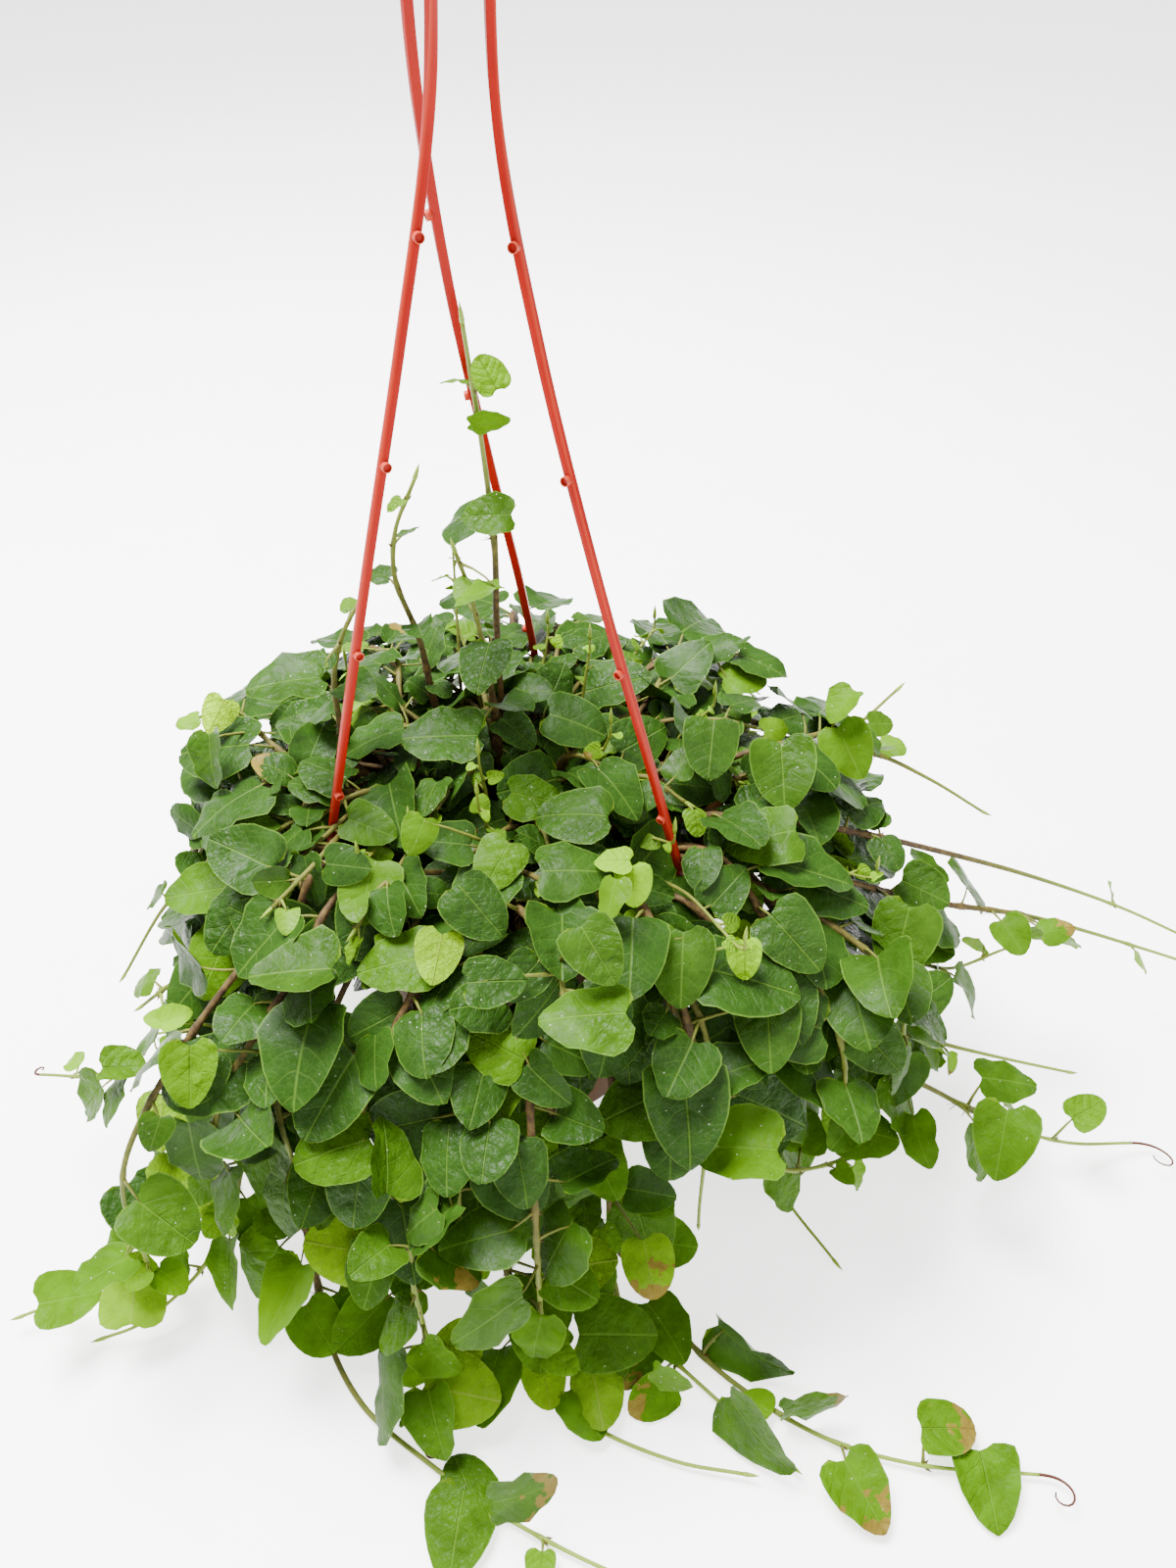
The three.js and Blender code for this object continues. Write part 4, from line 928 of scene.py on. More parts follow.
def add_leaf(shape, leaf, youth, light, age):
    """The petiole, bowed from the stem into the rib, and the blade on it."""
    a, c = leaf["at"], leaf["base"]
    bow = a + (c - a) * 0.55 + leaf["normal"] * 0.12 * np.linalg.norm(c - a)
    end = c + leaf["along"] * 0.08 * leaf["length"]
    t = np.linspace(0, 1, 4)[:, None]
    line = a * (1 - t) ** 2 + bow * 2 * t * (1 - t) + end * t ** 2
    add_tube(shape, line, PETIOLE_RADII, 4, 0.35 + 0.5 * youth, 0.0, leaf["normal"])
    add_blade(shape, leaf, youth, light, age)


def add_scales(shape, stem, s, side, youth):
    """Two narrow scales that clasp the node, and a tuft of short rootlets on its shaded side."""
    at, way = stem.curve.at(s)[0], stem.curve.way(s)[0]
    k = int(s * 10)
    for sign in (1, -1):
        out = unit(side * sign + way * 0.9)
        length = SCALE_LENGTH[0] + SCALE_LENGTH[1] * draw(stem.key, k, 61 + sign)
        t = np.array([0, 0.5, 1.0])[:, None]
        line = at + out * length * t + way * length * 0.35 * t ** 2
        add_tube(shape, line, SCALE_RADII, 4, 0.2, BROWN * (1 - 0.5 * youth))
    if youth > 0.5:
        return
    down = unit(np.cross(side, way))
    down = down if down[2] < 0 else -down
    for i in range(ROOTLETS):
        stray = side * 0.9 * spread(stem.key, k, 70 + i) + way * 0.6 * spread(stem.key, k, 80 + i)
        length = ROOTLET_LENGTH[0] + ROOTLET_LENGTH[1] * draw(stem.key, k, 90 + i)
        length = min(length, at[2] - 0.4)
        if length < 1:
            continue
        t = np.array([0, 0.5, 1.0])[:, None]
        line = at + unit(down + stray) * length * t
        add_tube(shape, line, ROOTLET_RADII, 3, 0.0, BROWN)


def add_bud(shape, stem):
    """The pointed bud at a stem's tip."""
    at, way = stem.curve.at(stem.length)[0], stem.curve.way(stem.length)[0]
    t = np.array([0, 0.25, 0.6, 1.0])[:, None]
    line = at - way * 0.6 + way * BUD_LENGTH * t + vec(0, 0, 0.8) * t ** 2
    add_tube(shape, line, BUD_RADII, 6, 1.0)


# Stems whose tip has dried to a curled thread, and the thread's length
THREADS = {"low_right": 34, "floor_right": 26, "floor_front": 20, "mid_left": 12, "floor_inner": 16}


def add_thread(shape, stem, length):
    """The dried end of a stem: a thread that turns aside by THREAD_TURN radians times the square of
    the way along it."""
    at, way = stem.curve.at(stem.length)[0], stem.curve.way(stem.length)[0]
    side = unit(np.cross(way, vec(0, 0.3, 1)))
    t = np.linspace(0, 1, 16)[:, None]
    turn = THREAD_TURN * t * t
    step = (way * np.cos(turn) + side * np.sin(turn)) * length / len(t)
    add_tube(shape, at - step[0] + np.cumsum(step, 0), 0.6 - 0.3 * t[:, 0], 5, 0.0, 1.0)


def stem_line(stem):
    """Rings along a stem, thinner towards its tip and swollen at each leaf."""
    s = np.arange(0, stem.length, RING_STEP)
    s = np.append(s[s < stem.length - 1], stem.length)
    line = stem.curve.at(s)
    radii = BARK_R + (BARK_TIP_R - BARK_R) * smooth(s / stem.length, 0.5, 1)
    for leaf in stem.leaves:
        radii = radii * (1 + KNOT_RISE * np.exp(-((s - leaf["s"]) / KNOT_LENGTH) ** 2))
    return s, line, radii * stem.thick


# Heights and distances from the pot's axis between which leaves are painted paler, as the table's light
# would make them
PALE_LOW = (30, 110)
PALE_OUT = (115, 180)
# The share of leaves that is dying, for those anywhere, under a height and lying on the table
DYING = [(0.02, math.inf), (0.07, 60), (0.25, 12)]


def hue(stem, leaf):
    """Youth, painted light and age of a leaf. Leaves near a tip are young and small; those that hang low
    or stand far out, where the table would light them, are painted paler than those on the crown, with a
    random tone on top; some on the table are dying."""
    if "tone" in leaf:
        return leaf["tone"]
    k1, k2 = leaf["key"]
    z = leaf["base"][2]
    r = math.hypot(leaf["base"][0], leaf["base"][1])
    # The light value is painted light: raised low down and far out, with a random tone per leaf
    low = smooth(PALE_LOW[1] - z, 0, PALE_LOW[1] - PALE_LOW[0])
    light = 0.65 * low + 0.35 * smooth(r, *PALE_OUT) + (0.15 + 0.45 * low) * draw(k1, k2, 41) ** 2
    small = (1 - smooth(leaf["length"], 9, 19)) * smooth(leaf["share"], 0.85, 1.0)
    tip = 0.5 * smooth(leaf["share"], 0.92, 1.0)
    youth = max(0.9 * small, tip) * (0.4 + 0.6 * draw(k1, k2, 42))
    youth = youth + stem.young * (1 + 2.4 * smooth(leaf["share"], 0.75, 0.95))
    dying = draw(k1, k2, 43)
    age = float(any(dying < share and z < under for share, under in DYING))
    return min(float(youth), 1.0), float(np.clip(light - 0.1, 0, 1)), age


def add_stem(shape, stem):
    """One leafy stem: bark, leaves, scales, rootlets and bud."""
    s, line, radii = stem_line(stem)
    youth = smooth(s, stem.length * 0.5, stem.length * 0.95) * min(1.0, max(0.3, stem.length / 320))
    youth = np.clip(youth + stem.young, 0, 1)
    add_tube(shape, line, radii, STEM_SIDES, youth)
    for leaf in stem.leaves:
        add_leaf(shape, leaf, *hue(stem, leaf))
        side = unit(leaf["petiole"] - stem.curve.way(leaf["s"])[0] * 0.3)
        if stem.young == 0:
            add_scales(shape, stem, leaf["s"], side, float(smooth(leaf["s"] / stem.length, 0.5, 0.95)))
    if stem.name in THREADS:
        add_thread(shape, stem, THREADS[stem.name])
    else:
        add_bud(shape, stem)


def finished(shape, slot, *nodes):
    """The shape as a piece of the part, with the solids that it stands for hidden. Its slot is not used.
    """
    piece = shape.make()
    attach(piece, "root")
    if nodes:
        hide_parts(*nodes)
    return piece


# Room for more leaves
THICKET_ROOM = 500


class Thicket:
    """What already stands in the plant, as coarse bodies that a new leaf or stem has to miss."""

    def __init__(self):
        """No bodies yet, and no room for their boxes."""
        self.trees, self.low, self.high = [], np.empty((0, 3)), np.empty((0, 3))

    @staticmethod
    def body(points, faces):
        """A coarse body: its tree of faces and its box."""
        polygons = [[int(i) for i in f if i >= 0] for f in faces]
        tree = BVHTree.FromPolygons([tuple(p) for p in points], polygons)
        return tree, points.min(0), points.max(0)

    def keep(self, body):
        """Adds a body."""
        tree, low, high = body
        self.trees.append(tree)
        if len(self.trees) > len(self.low):
            room = np.zeros((THICKET_ROOM, 3))
            self.low, self.high = np.vstack([self.low, room]), np.vstack([self.high, room])
        self.low[len(self.trees) - 1] = low
        self.high[len(self.trees) - 1] = high

    def first_hit(self, start, way):
        """How far along a ray the first body stands."""
        hits = [tree.ray_cast(start, way)[3] for tree in self.trees]
        return min((d for d in hits if d is not None), default=math.inf)

    def hits(self, body):
        """How many of the kept bodies a new one cuts."""
        if not self.trees:
            return 0
        tree, low, high = body
        kept = len(self.trees)
        near = (self.low[:kept] <= high).all(1) & (self.high[:kept] >= low).all(1)
        return sum(bool(tree.overlap(self.trees[i])) for i in np.flatnonzero(near))


GUARD_COLUMNS = np.array([-1, 0, 1])
# Around its petiole's root a leaf may cut its own stem
GUARD_FROM = 2.2
GUARD_STEM_R = 1.3
GUARD_STEP = 7
GUARD_FACES = grid_faces(len(ROUND_ROWS), len(GUARD_COLUMNS))


def leaf_guard(leaf):
    """A leaf's middle surface and a strip along its petiole, as a coarse body."""
    rib, mx, my = (ROUND_ROWS[:, i][:, None] for i in range(3))
    u = GUARD_COLUMNS[None]
    x = (u * mx * LEAF_BROAD).ravel()
    y = (rib + (my - rib) * np.abs(u)).ravel()
    blade = blade_points(leaf, x, y, 0)
    root = leaf["at"] + leaf["petiole"] * GUARD_FROM
    strip = np.array([root - leaf["across"] * 0.3, root + leaf["across"] * 0.3, leaf["base"]])
    n = len(blade)
    return Thicket.body(np.vstack([blade, strip]), np.vstack([GUARD_FACES, [[n, n + 1, n + 2, -1]]]))


def stem_guard(stem, start):
    """A stem from a length onwards as a three-sided tube."""
    s = np.linspace(start, stem.length, max(4, int((stem.length - start) / GUARD_STEP)))
    points, faces = tube(stem.curve.at(s), np.full(len(s), GUARD_STEM_R), 3)
    return Thicket.body(points, faces)


def solid_guard(name):
    """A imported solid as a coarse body."""
    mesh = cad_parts[name].data
    corners = np.empty(len(mesh.loops), np.int32)
    mesh.loops.foreach_get("vertex_index", corners)
    return Thicket.body(solid_corners(name), corners.reshape(-1, 3))


def clear_of_pot(points):
    """Whether points are over the table and neither in the soil nor within the pot's wall."""
    r = np.hypot(points[:, 0], points[:, 1])
    z = points[:, 2]
    wall = BASE_R + (WALL_R - BASE_R) * z / POT_HEIGHT
    in_pot = (z < SOIL_TOP + 1.5) & (r < wall + 1)
    return z.min() > 0.8 and not in_pot.any()


BOX_MORE = 4
# A blade's two flanks, its tip and its base
EDGE_X = vec(-0.5, 0.5, 0, 0)
EDGE_Y = vec(0.3, 0.3, 1, 0)


def inside_box(points):
    """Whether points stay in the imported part's box, a little wider."""
    low, high = (np.array(c) / MM for c in CAD_BOX)
    return (points > low - BOX_MORE).all() and (points < high + BOX_MORE).all()


def free_edge(leaf):
    """Four points of a blade's edge, or None where one is in the pot, the soil or out of the box."""
    edge = blade_points(leaf, EDGE_X, EDGE_Y, 0)
    return edge if clear_of_pot(edge) and inside_box(edge) else None


# An added leaf turns more freely than a solid's, and faces up more
LOOSE = 1.4
FLAT = 0.6
# The photograph's middle and focal length in pixels, and the camera's three directions
PHOTO_MIDDLE = (600, 800)
PHOTO_HEIGHT = 1600
SENSOR_HEIGHT = 36
PHOTO_FOCUS = PHOTO_HEIGHT * CAMERA_LENS / SENSOR_HEIGHT
EYE = vec(*CAMERA_AT)
TURN, DOWN = math.radians(CAMERA_TURN), math.radians(CAMERA_DOWN)
EYE_AHEAD = vec(math.sin(TURN) * math.cos(DOWN), math.cos(TURN) * math.cos(DOWN), -math.sin(DOWN))
EYE_RIGHT = vec(math.cos(TURN), -math.sin(TURN), 0)
EYE_UP = np.cross(EYE_RIGHT, EYE_AHEAD)
# The mound's outline in the photograph's pixels, clockwise from its left, without the long runners
OUTLINE = np.array([
    (170, 800), (210, 730), (270, 680), (320, 665), (380, 630), (470, 620), (560, 630), (650, 630),
    (760, 650), (800, 690), (870, 700), (930, 750), (920, 830), (950, 880), (990, 900), (985, 960),
    (970, 1040), (975, 1100), (940, 1170), (880, 1215), (760, 1205), (690, 1170), (700, 1260),
    (690, 1330), (690, 1390), (635, 1470), (540, 1440), (500, 1490), (400, 1485), (330, 1420),
    (270, 1370), (240, 1290), (160, 1360), (20, 1350), (30, 1300), (120, 1240), (160, 1160),
    (110, 1130), (150, 1070), (175, 1000), (170, 930), (190, 870), (165, 830)])


def within_outline(points):
    """Whether all points, seen by the camera, are in the outline: a level line to the right of an
    inner point crosses the outline's sides an odd number of times."""
    away = points - EYE
    scale = PHOTO_FOCUS / (away @ EYE_AHEAD)
    u = PHOTO_MIDDLE[0] + (away @ EYE_RIGHT) * scale
    v = PHOTO_MIDDLE[1] - (away @ EYE_UP) * scale
    a, b = OUTLINE, np.roll(OUTLINE, -1, 0)
    spans = (a[:, 1] > v[:, None]) != (b[:, 1] > v[:, None])
    rise = np.where(b[:, 1] == a[:, 1], 1, b[:, 1] - a[:, 1])
    cross = a[:, 0] + (v[:, None] - a[:, 1]) * (b[:, 0] - a[:, 0]) / rise
    return ((spans & (cross > u[:, None])).sum(1) % 2 == 1).all()


def try_leaf(thicket, stem, s, index, size, poses, outlined=True):
    """The first pose of a leaf that cuts nothing and keeps to the outline, or None."""
    for pose in range(1, poses + 1):
        leaf = leaf_pose(stem, s, index, pose, size, LOOSE, FLAT)
        edge = free_edge(leaf)
        if edge is None or outlined and not within_outline(edge):
            continue
        guard = leaf_guard(leaf)
        if thicket.hits(guard) == 0:
            thicket.keep(guard)
            return leaf
    return None


# Stems are tested, and carry leaves, from here on
OUT_OF_SOIL = STEM_DEPTH + 8
# How many bodies of the thicket a new stem may cut inside the mound, how many routes it tries, how
# many poses each of its leaves tries, and how many leaves it needs
MOST_CUTS = 3
ROUTES_TRIED = 8
SHOOT_POSES = 10
FEWEST_LEAVES = 2


def crosses_wall(line):
    """Whether a stem's points come within 4 mm of the pot's wall inside, or 2 mm of its lip outside,
    lower than 3 mm over the lip."""
    r, z = np.hypot(line[:, 0], line[:, 1]), line[:, 2]
    wall = BASE_R + (WALL_R - BASE_R) * z / POT_HEIGHT
    return ((z < POT_HEIGHT + 3) & (r > wall - 4) & (r < LIP_R + 2)).any()


def grow_shoot(thicket, name, key, habit, route, most_cuts=MOST_CUTS, poses=SHOOT_POSES,
               outlined=True):
    """A new stem with the leaves that find room, or None where its own way isn't free."""
    stem = Stem(name, key, habit, route)
    if crosses_wall(stem.curve.at(np.linspace(OUT_OF_SOIL, stem.length, 12))):
        return None
    guard = stem_guard(stem, STEM_DEPTH + 6)
    if thicket.hits(guard) > most_cuts:
        return None
    for index, place in enumerate(stem.places):
        leaf = try_leaf(thicket, stem, place, index, 1.0, poses, outlined)
        if leaf is not None:
            stem.leaves.append(leaf)
    if len(stem.leaves) < FEWEST_LEAVES:
        return None
    thicket.keep(guard)
    return stem


def first_grown(tries):
    """A list with the first of the tried stems that grew, or an empty one."""
    for stem in tries:
        if stem is not None:
            return [stem]
    return []


def grow_group(thicket, name, key, habit, count, route, poses=SHOOT_POSES):
    """The stems of a group, each on the first of its routes whose way is free."""
    group = []
    for i in range(count):
        group += first_grown(grow_shoot(thicket, name, key + i, habit, route(i, attempt), poses=poses)
                             for attempt in range(ROUTES_TRIED))
    return group


# Leaves of the solids where the photograph shows none, by stem and order along it
NOT_SEEN = {
    "floor_right": (7, 8, 9, 10), "floor_front": (7, 8, 9, 10), "floor_middle": (7, 8),
    "tip_left": (5, 6, 7), "low_left": (8,), "low_right": (7, 8), "front_right": (5,),
    "far_right": (5,), "far_right_twin": (1, 2, 3), "tall_back": (0, 2), "back_left": (2, 3),
    "skirt_1": (5, 6, 7), "skirt_2": (7, 8), "skirt_10": (3,)}
stems = solid_stems()
for stem in stems:
    left_out = NOT_SEEN.get(stem.name, ())
    stem.leaves = [leaf for order, leaf in enumerate(stem.leaves) if order not in left_out]
thicket = Thicket()
for name in ["pot", "hanger_hook"] + [arm[0] for arm in ARMS]:
    thicket.keep(solid_guard(name))
for stem in stems:
    thicket.keep(stem_guard(stem, OUT_OF_SOIL))
    for leaf in stem.leaves:
        thicket.keep(leaf_guard(leaf))

# Leaves that can be told apart in the photograph: the pixel at the blade's middle, its length, the way
# its tip points in the picture in degrees, how far the blade turns from the camera to face upwards, its
# roll about the rib in degrees, and its youth, light and age; its light is painted light and shade
LANDMARK_LEAVES = [
    (497, 380, 13, 120, 0.2, 0, 0.5, 1, 0), (500, 433, 14, 0, 0.3, 75, 0.2, 0.9, 0),
    (497, 525, 18, 180, 0.5, 0, 0, 0.5, 0), (487, 606, 18, 205, 0.6, 40, 0.1, 0.9, 0),
    (449, 750, 31, 178, 0.8, 0, 0, 0.05, 0), (589, 737, 25, -20, 0.5, 0, 0, 0.0, 0),
    (548, 814, 22, -12, 0.6, 0, 0, 0.5, 0), (584, 829, 28, 170, 0.8, 0, 0, 0.1, 0),
    (589, 887, 27, 5, 0.7, 0, 0, 0.1, 0), (507, 883, 21, -115, 0.5, 0, 0.1, 0.5, 0),
    (696, 988, 27, -92, 0.2, 0, 0, 0.25, 0), (760, 979, 14, -90, 0.2, 0, 0.95, 1, 0),
    (758, 951, 10, 85, 0.2, 0, 1, 1, 0), (646, 904, 15, -85, 0.2, 0, 0.9, 1, 0),
    (625, 877, 13, 175, 0.8, 0, 1, 1, 0), (623, 917, 15, -120, 0.4, 20, 0.2, 0.7, 0),
    (426, 853, 15, -95, 0.3, 0, 0.15, 0.7, 0), (811, 960, 27, -50, 0.3, 0, 0, 0.05, 0),
    (777, 853, 28, 190, 0.6, 0, 0, 0.4, 0), (867, 767, 24, -65, 0.2, 0, 0.1, 0.8, 0),
    (859, 720, 17, -130, 0.3, 30, 0.2, 0.8, 0), (760, 690, 21, 10, 0.8, 0, 0.1, 0.7, 0),
    (799, 789, 28, -88, 0.5, 0, 0, 0.3, 0), (919, 960, 30, -105, 0.2, 0, 0, 0.45, 0),
    (944, 909, 22, -30, 0.4, 0, 0, 0.2, 0), (726, 763, 25, -80, 0.5, 0, 0, 0.1, 0),
    (507, 1001, 25, 5, 0.4, 0, 0, 0.0, 0), (490, 928, 24, -50, 0.3, 0, 0, 0.0, 0),
    (595, 1035, 29, 182, 0.9, 0, 0, 0.55, 0), (610, 973, 22, -60, 0.3, 0, 0, 0.3, 0),
    (289, 694, 28, 190, 0.9, 0, 0, 0.1, 0), (221, 731, 16, -115, 0.1, 180, 0.9, 1, 0),
    (214, 776, 22, -90, 0.2, 50, 0, 0.2, 0), (204, 909, 28, 192, 0.7, 0, 0, 0.8, 0),
    (219, 981, 30, -118, 0.1, 20, 0, 0.95, 0), (373, 909, 25, -105, 0.4, 0, 0.1, 0.6, 0),
    (379, 844, 20, -20, 0.6, 0, 0, 0.4, 0), (405, 981, 29, 195, 0.8, 0, 0, 0.6, 0),
    (446, 979, 19, -100, 0.2, 180, 0.1, 1, 0), (296, 990, 30, 180, 1.1, 0, 0, 0.2, 0),
    (180, 1037, 12, 30, 0.5, 0, 1, 1, 0), (158, 1039, 10, 170, 0.5, 0, 0.9, 1, 0),
    (194, 1098, 22, -90, 0.1, 0, 0.2, 0.9, 0), (199, 1206, 31, -60, 0.1, 180, 0, 0.9, 0),
    (148, 1238, 29, -60, 0.3, 0, 0, 0.0, 0), (137, 1315, 28, 85, 0.1, 180, 0.1, 1, 0),
    (71, 1324, 24, 15, 0.3, 0, 0.2, 1, 0), (126, 1088, 18, 10, 0.9, 0, 0.1, 0.7, 0),
    (111, 1124, 20, -110, 0.3, 60, 0, 0.4, 0), (165, 1146, 22, -90, 0.1, 180, 0.1, 0.9, 0),
    (339, 1174, 28, 200, 0.4, 0, 0, 0.65, 0), (396, 1178, 27, 60, 0.3, 20, 0, 0.5, 0),
    (349, 1274, 29, 170, 0.1, 180, 0.1, 1, 0), (416, 1266, 29, -80, 0.3, 0, 0, 0.0, 0),
    (381, 1300, 24, -110, 0.3, 20, 0, 0.3, 0), (287, 1328, 31, -120, 0.1, 45, 0.3, 1, 0),
    (326, 1356, 23, -60, 0.0, 0, 0.1, 1, 0), (504, 1204, 19, 180, 0.1, 0, 0.8, 1, 0),
    (538, 1152, 27, 88, 0.3, 0, 0.1, 0.8, 0), (506, 1066, 24, 150, 0.3, 0, 0.1, 0.7, 0),
    (506, 1120, 28, -112, 0.3, 50, 0.1, 0.7, 0), (529, 1242, 32, 0, 0.2, 0, 0, 0.4, 0),
    (471, 1422, 31, -12, 0.1, 180, 0, 0.8, 0), (471, 1373, 22, 60, 0.1, 180, 0.2, 1, 0),
    (444, 1454, 25, -80, 0.2, 30, 0, 0.6, 0), (388, 1424, 34, -95, 0.3, 68, 0, 0.3, 0),
    (476, 1514, 25, 110, 0.9, 0, 0, 0.5, 0), (465, 1566, 30, -95, 0.95, 0, 0, 0.6, 0),
    (536, 1527, 25, 12, 0.5, 60, 0, 0.6, 1), (557, 1411, 20, -80, 0.1, 180, 0.2, 1, 0),
    (549, 1364, 26, -85, 0.1, 0, 0, 0.9, 0), (650, 1127, 32, 205, 0.4, 0, 0, 0.45, 0),
    (785, 1055, 30, -88, 0.3, 0, 0, 0.15, 0), (845, 1045, 27, -100, 0.3, 20, 0, 0.2, 0),
    (909, 1100, 27, -118, 0.2, 0, 0, 0.2, 0), (750, 1170, 32, 172, 0.9, 0, 0.1, 0.7, 0),
    (885, 1155, 28, -10, 0.8, 0, 0.1, 0.7, 0), (1022, 1167, 30, -100, 0.1, 0, 0.05, 0.7, 0),
    (1110, 1132, 18, 30, 0.4, 0, 0.3, 0.8, 0), (1033, 955, 18, -60, 0.4, 0, 0.1, 0.7, 0),
    (1081, 948, 15, 10, 0.5, 0, 0.1, 0.8, 1), (833, 1438, 26, 5, 0.3, 76, 0, 0.9, 1),
    (1030, 1102, 26, -5, 1.1, 0, 0, 0.5, 0),
    (630, 1362, 32, 0, 0.1, 0, 0, 0.6, 0), (590, 1292, 32, 10, 0.1, 180, 0, 0.7, 0),
    (882, 1525, 27, -70, 0.95, 0, 0.1, 1, 1), (1010, 1520, 28, -88, 0.95, 0, 0, 1, 0),
    (968, 1457, 22, 0, 0.7, 0, 0.1, 1, 1), (770, 1467, 34, -60, 0.2, 60, 0, 0.5, 0),
    (765, 1382, 34, -47, 0.4, 70, 0, 0.4, 0), (685, 1410, 21, -60, 0.1, 30, 0.1, 0.9, 0),
    (662, 1295, 22, -80, 0.1, 180, 0, 0.8, 1), (665, 1217, 19, -10, 0.3, 0, 0, 0.1, 0),
    (615, 1195, 23, -70, 0.2, 20, 0, 0.7, 0), (610, 1427, 23, -80, 0.1, 180, 0, 0.7, 0),
    (937, 1165, 22, -80, 0.1, 40, 0.1, 0.8, 0)]
LANDMARK_KEY = 700
LANDMARK_STALK = 28
# A landmark leaf stands no further behind the stems that its ray passes than this
LANDMARK_BEHIND = 6
STEMS_PASSED = 12
# A stem nearer to the blade's base than this carries it only if there is no other
STALK_LEAST = 4
STALK_LAST = 40
# Nearer to the camera, turned further and smaller, from the first choice on
LANDMARK_TRIES = [(nearer, turn, size) for size in (0.92, 0.82, 0.72) for turn in (0, 14, -14, 28, -28)
                  for nearer in (3, 6, 9, 13, 17, 22, 28, 34)]
CARRIER_STEP = 3
MIDDLE_SHARE = 0.45


def landmark_leaf(thicket, carriers, index, mark):
    """A leaf on the ray through its pixel, a little nearer than what stands there, on a petiole from
    the nearest stem. It turns and shrinks a little until it cuts nothing, or else one body."""
    u, v, length, heading, rise, roll, *tone = mark
    aside, above = (u - PHOTO_MIDDLE[0]) / PHOTO_FOCUS, (PHOTO_MIDDLE[1] - v) / PHOTO_FOCUS
    ray = unit(EYE_AHEAD + EYE_RIGHT * aside + EYE_UP * above)
    places, owners = carriers
    along_ray = (places - EYE) @ ray
    off_ray = np.linalg.norm(places - EYE - np.outer(along_ray, ray), axis=1)
    close = off_ray < off_ray.min() + STEMS_PASSED
    far = min(thicket.first_hit(EYE, ray), float(along_ray[close].min()) + LANDMARK_BEHIND)
    spare = None
    for nearer, extra, size in LANDMARK_TRIES:
        angle = math.radians(heading + extra)
        normal = unit(-ray * (1 - rise) + vec(0, 0, rise))
        tip = EYE_RIGHT * math.cos(angle) + EYE_UP * math.sin(angle)
        tip = unit(tip - normal * (tip @ normal))
        normal = turned(normal, tip, math.radians(roll + extra))
        middle = EYE + ray * (far - nearer)
        base = middle - tip * MIDDLE_SHARE * length * size
        reach = np.linalg.norm(places - base, axis=1)
        reach = reach + STALK_LAST * (reach < STALK_LEAST)
        k = int(np.argmin(reach))
        if reach[k] > LANDMARK_STALK:
            continue
        stem, s = owners[k]
        at = places[k]
        leaf = {"at": at, "petiole": unit(base - at), "base": base, "along": tip, "normal": normal,
                "across": np.cross(tip, normal), "length": length * size, "s": s,
                "width": length * size * LEAF_WIDTH, "share": s / stem.length,
                "wave": 2 * math.pi * draw(LANDMARK_KEY, index, 26), "key": (LANDMARK_KEY, index),
                "tone": tone}
        if free_edge(leaf) is None:
            continue
        guard = leaf_guard(leaf)
        cuts = thicket.hits(guard)
        if cuts == 1 and spare is None:
            spare = stem, leaf, guard
        if cuts == 0:
            spare = stem, leaf, guard
            break
    if spare is None:
        return
    stem, leaf, guard = spare
    thicket.keep(guard)
    stem.leaves.append(leaf)


carriers = [(stem, float(s)) for stem in stems
            for s in np.arange(OUT_OF_SOIL, stem.length, CARRIER_STEP)]
carriers = (np.array([stem.curve.at(s)[0] for stem, s in carriers]), carriers)
for i, mark in enumerate(LANDMARK_LEAVES):
    landmark_leaf(thicket, carriers, i, mark)

# Young shoots that can be told apart by their bright small leaves: grown leaf, root and tip
YOUNG_SHOOTS = [
    (12, (20, 16), (29, 27, 186)), (13, (8, 34), (15, 52, 176)), (13, (22, -6), (33, -11, 178)),
    (11, (-8, -18), (-12, -28, 182)), (13, (-8, -30), (-13, -41, 176)), (16, (18, -40), (30, -70, 172)),
    (15, (36, -34), (65, -97, 163)), (12, (46, 4), (72, 7, 173)), (13, (-24, -30), (-35, -46, 171)),
    (12, (32, -30), (49, -57, 170)), (14, (-38, -22), (-52, -52, 163)), (13, (-46, 16), (-112, 38, 150)),
    (14, (-44, -20), (-115, -76, 118)), (13, (42, -26), (122, -49, 138)), (13, (-10, 40), (-20, 66, 172)),
    (13, (30, 34), (58, 66, 166)), (12, (-34, 28), (-62, 46, 168)), (15, (-18, 38), (-19, 64, 203)),
]
YOUNG_KEY = 300
YOUNG_SIZE = 0.68
# How far a young shoot leans out of the soil, bows up in its middle, and bends aside to find its way
YOUNG_LEAN = 4
YOUNG_RISE = 8
YOUNG_BENDS = (0, 5, -5, 10, -10)
# The length of its leafy end, the step between its leaves and its bare tip
YOUNG_END = (20, 8, 2)
YOUNG_THICK = 0.6
YOUNG_BRIGHT = 0.25
YOUNG_CUTS = 4
YOUNG_POSES = 16


def young_shoot(thicket, i, bend):
    """A young shoot from its root to its tip, bent sideways in the middle by a distance."""
    leaf, root, tip = YOUNG_SHOOTS[i]
    r = math.hypot(*root)
    foot, end = vec(*root, SOIL_TOP), vec(*tip)
    lift = vec(root[0] * (r + YOUNG_LEAN) / r, root[1] * (r + YOUNG_LEAN) / r, SOIL_TOP + STEM_DEPTH)
    aside = unit(vec(end[1] - lift[1], lift[0] - end[0], 0.01)) * bend
    middle = (lift + end) / 2 + vec(0, 0, YOUNG_RISE) + aside
    route = [foot, lift, middle, end - vec(0, 0, 3), end + vec(0, 0, 2)]
    leafy, step, bare = YOUNG_END
    habit = (leaf * YOUNG_SIZE, Curve(route).length - leafy, step, bare)
    stem = grow_shoot(thicket, "young", YOUNG_KEY + i, habit, route, YOUNG_CUTS, YOUNG_POSES,
                      outlined=False)
    if stem is not None:
        stem.thick, stem.young = YOUNG_THICK, YOUNG_BRIGHT
    return stem


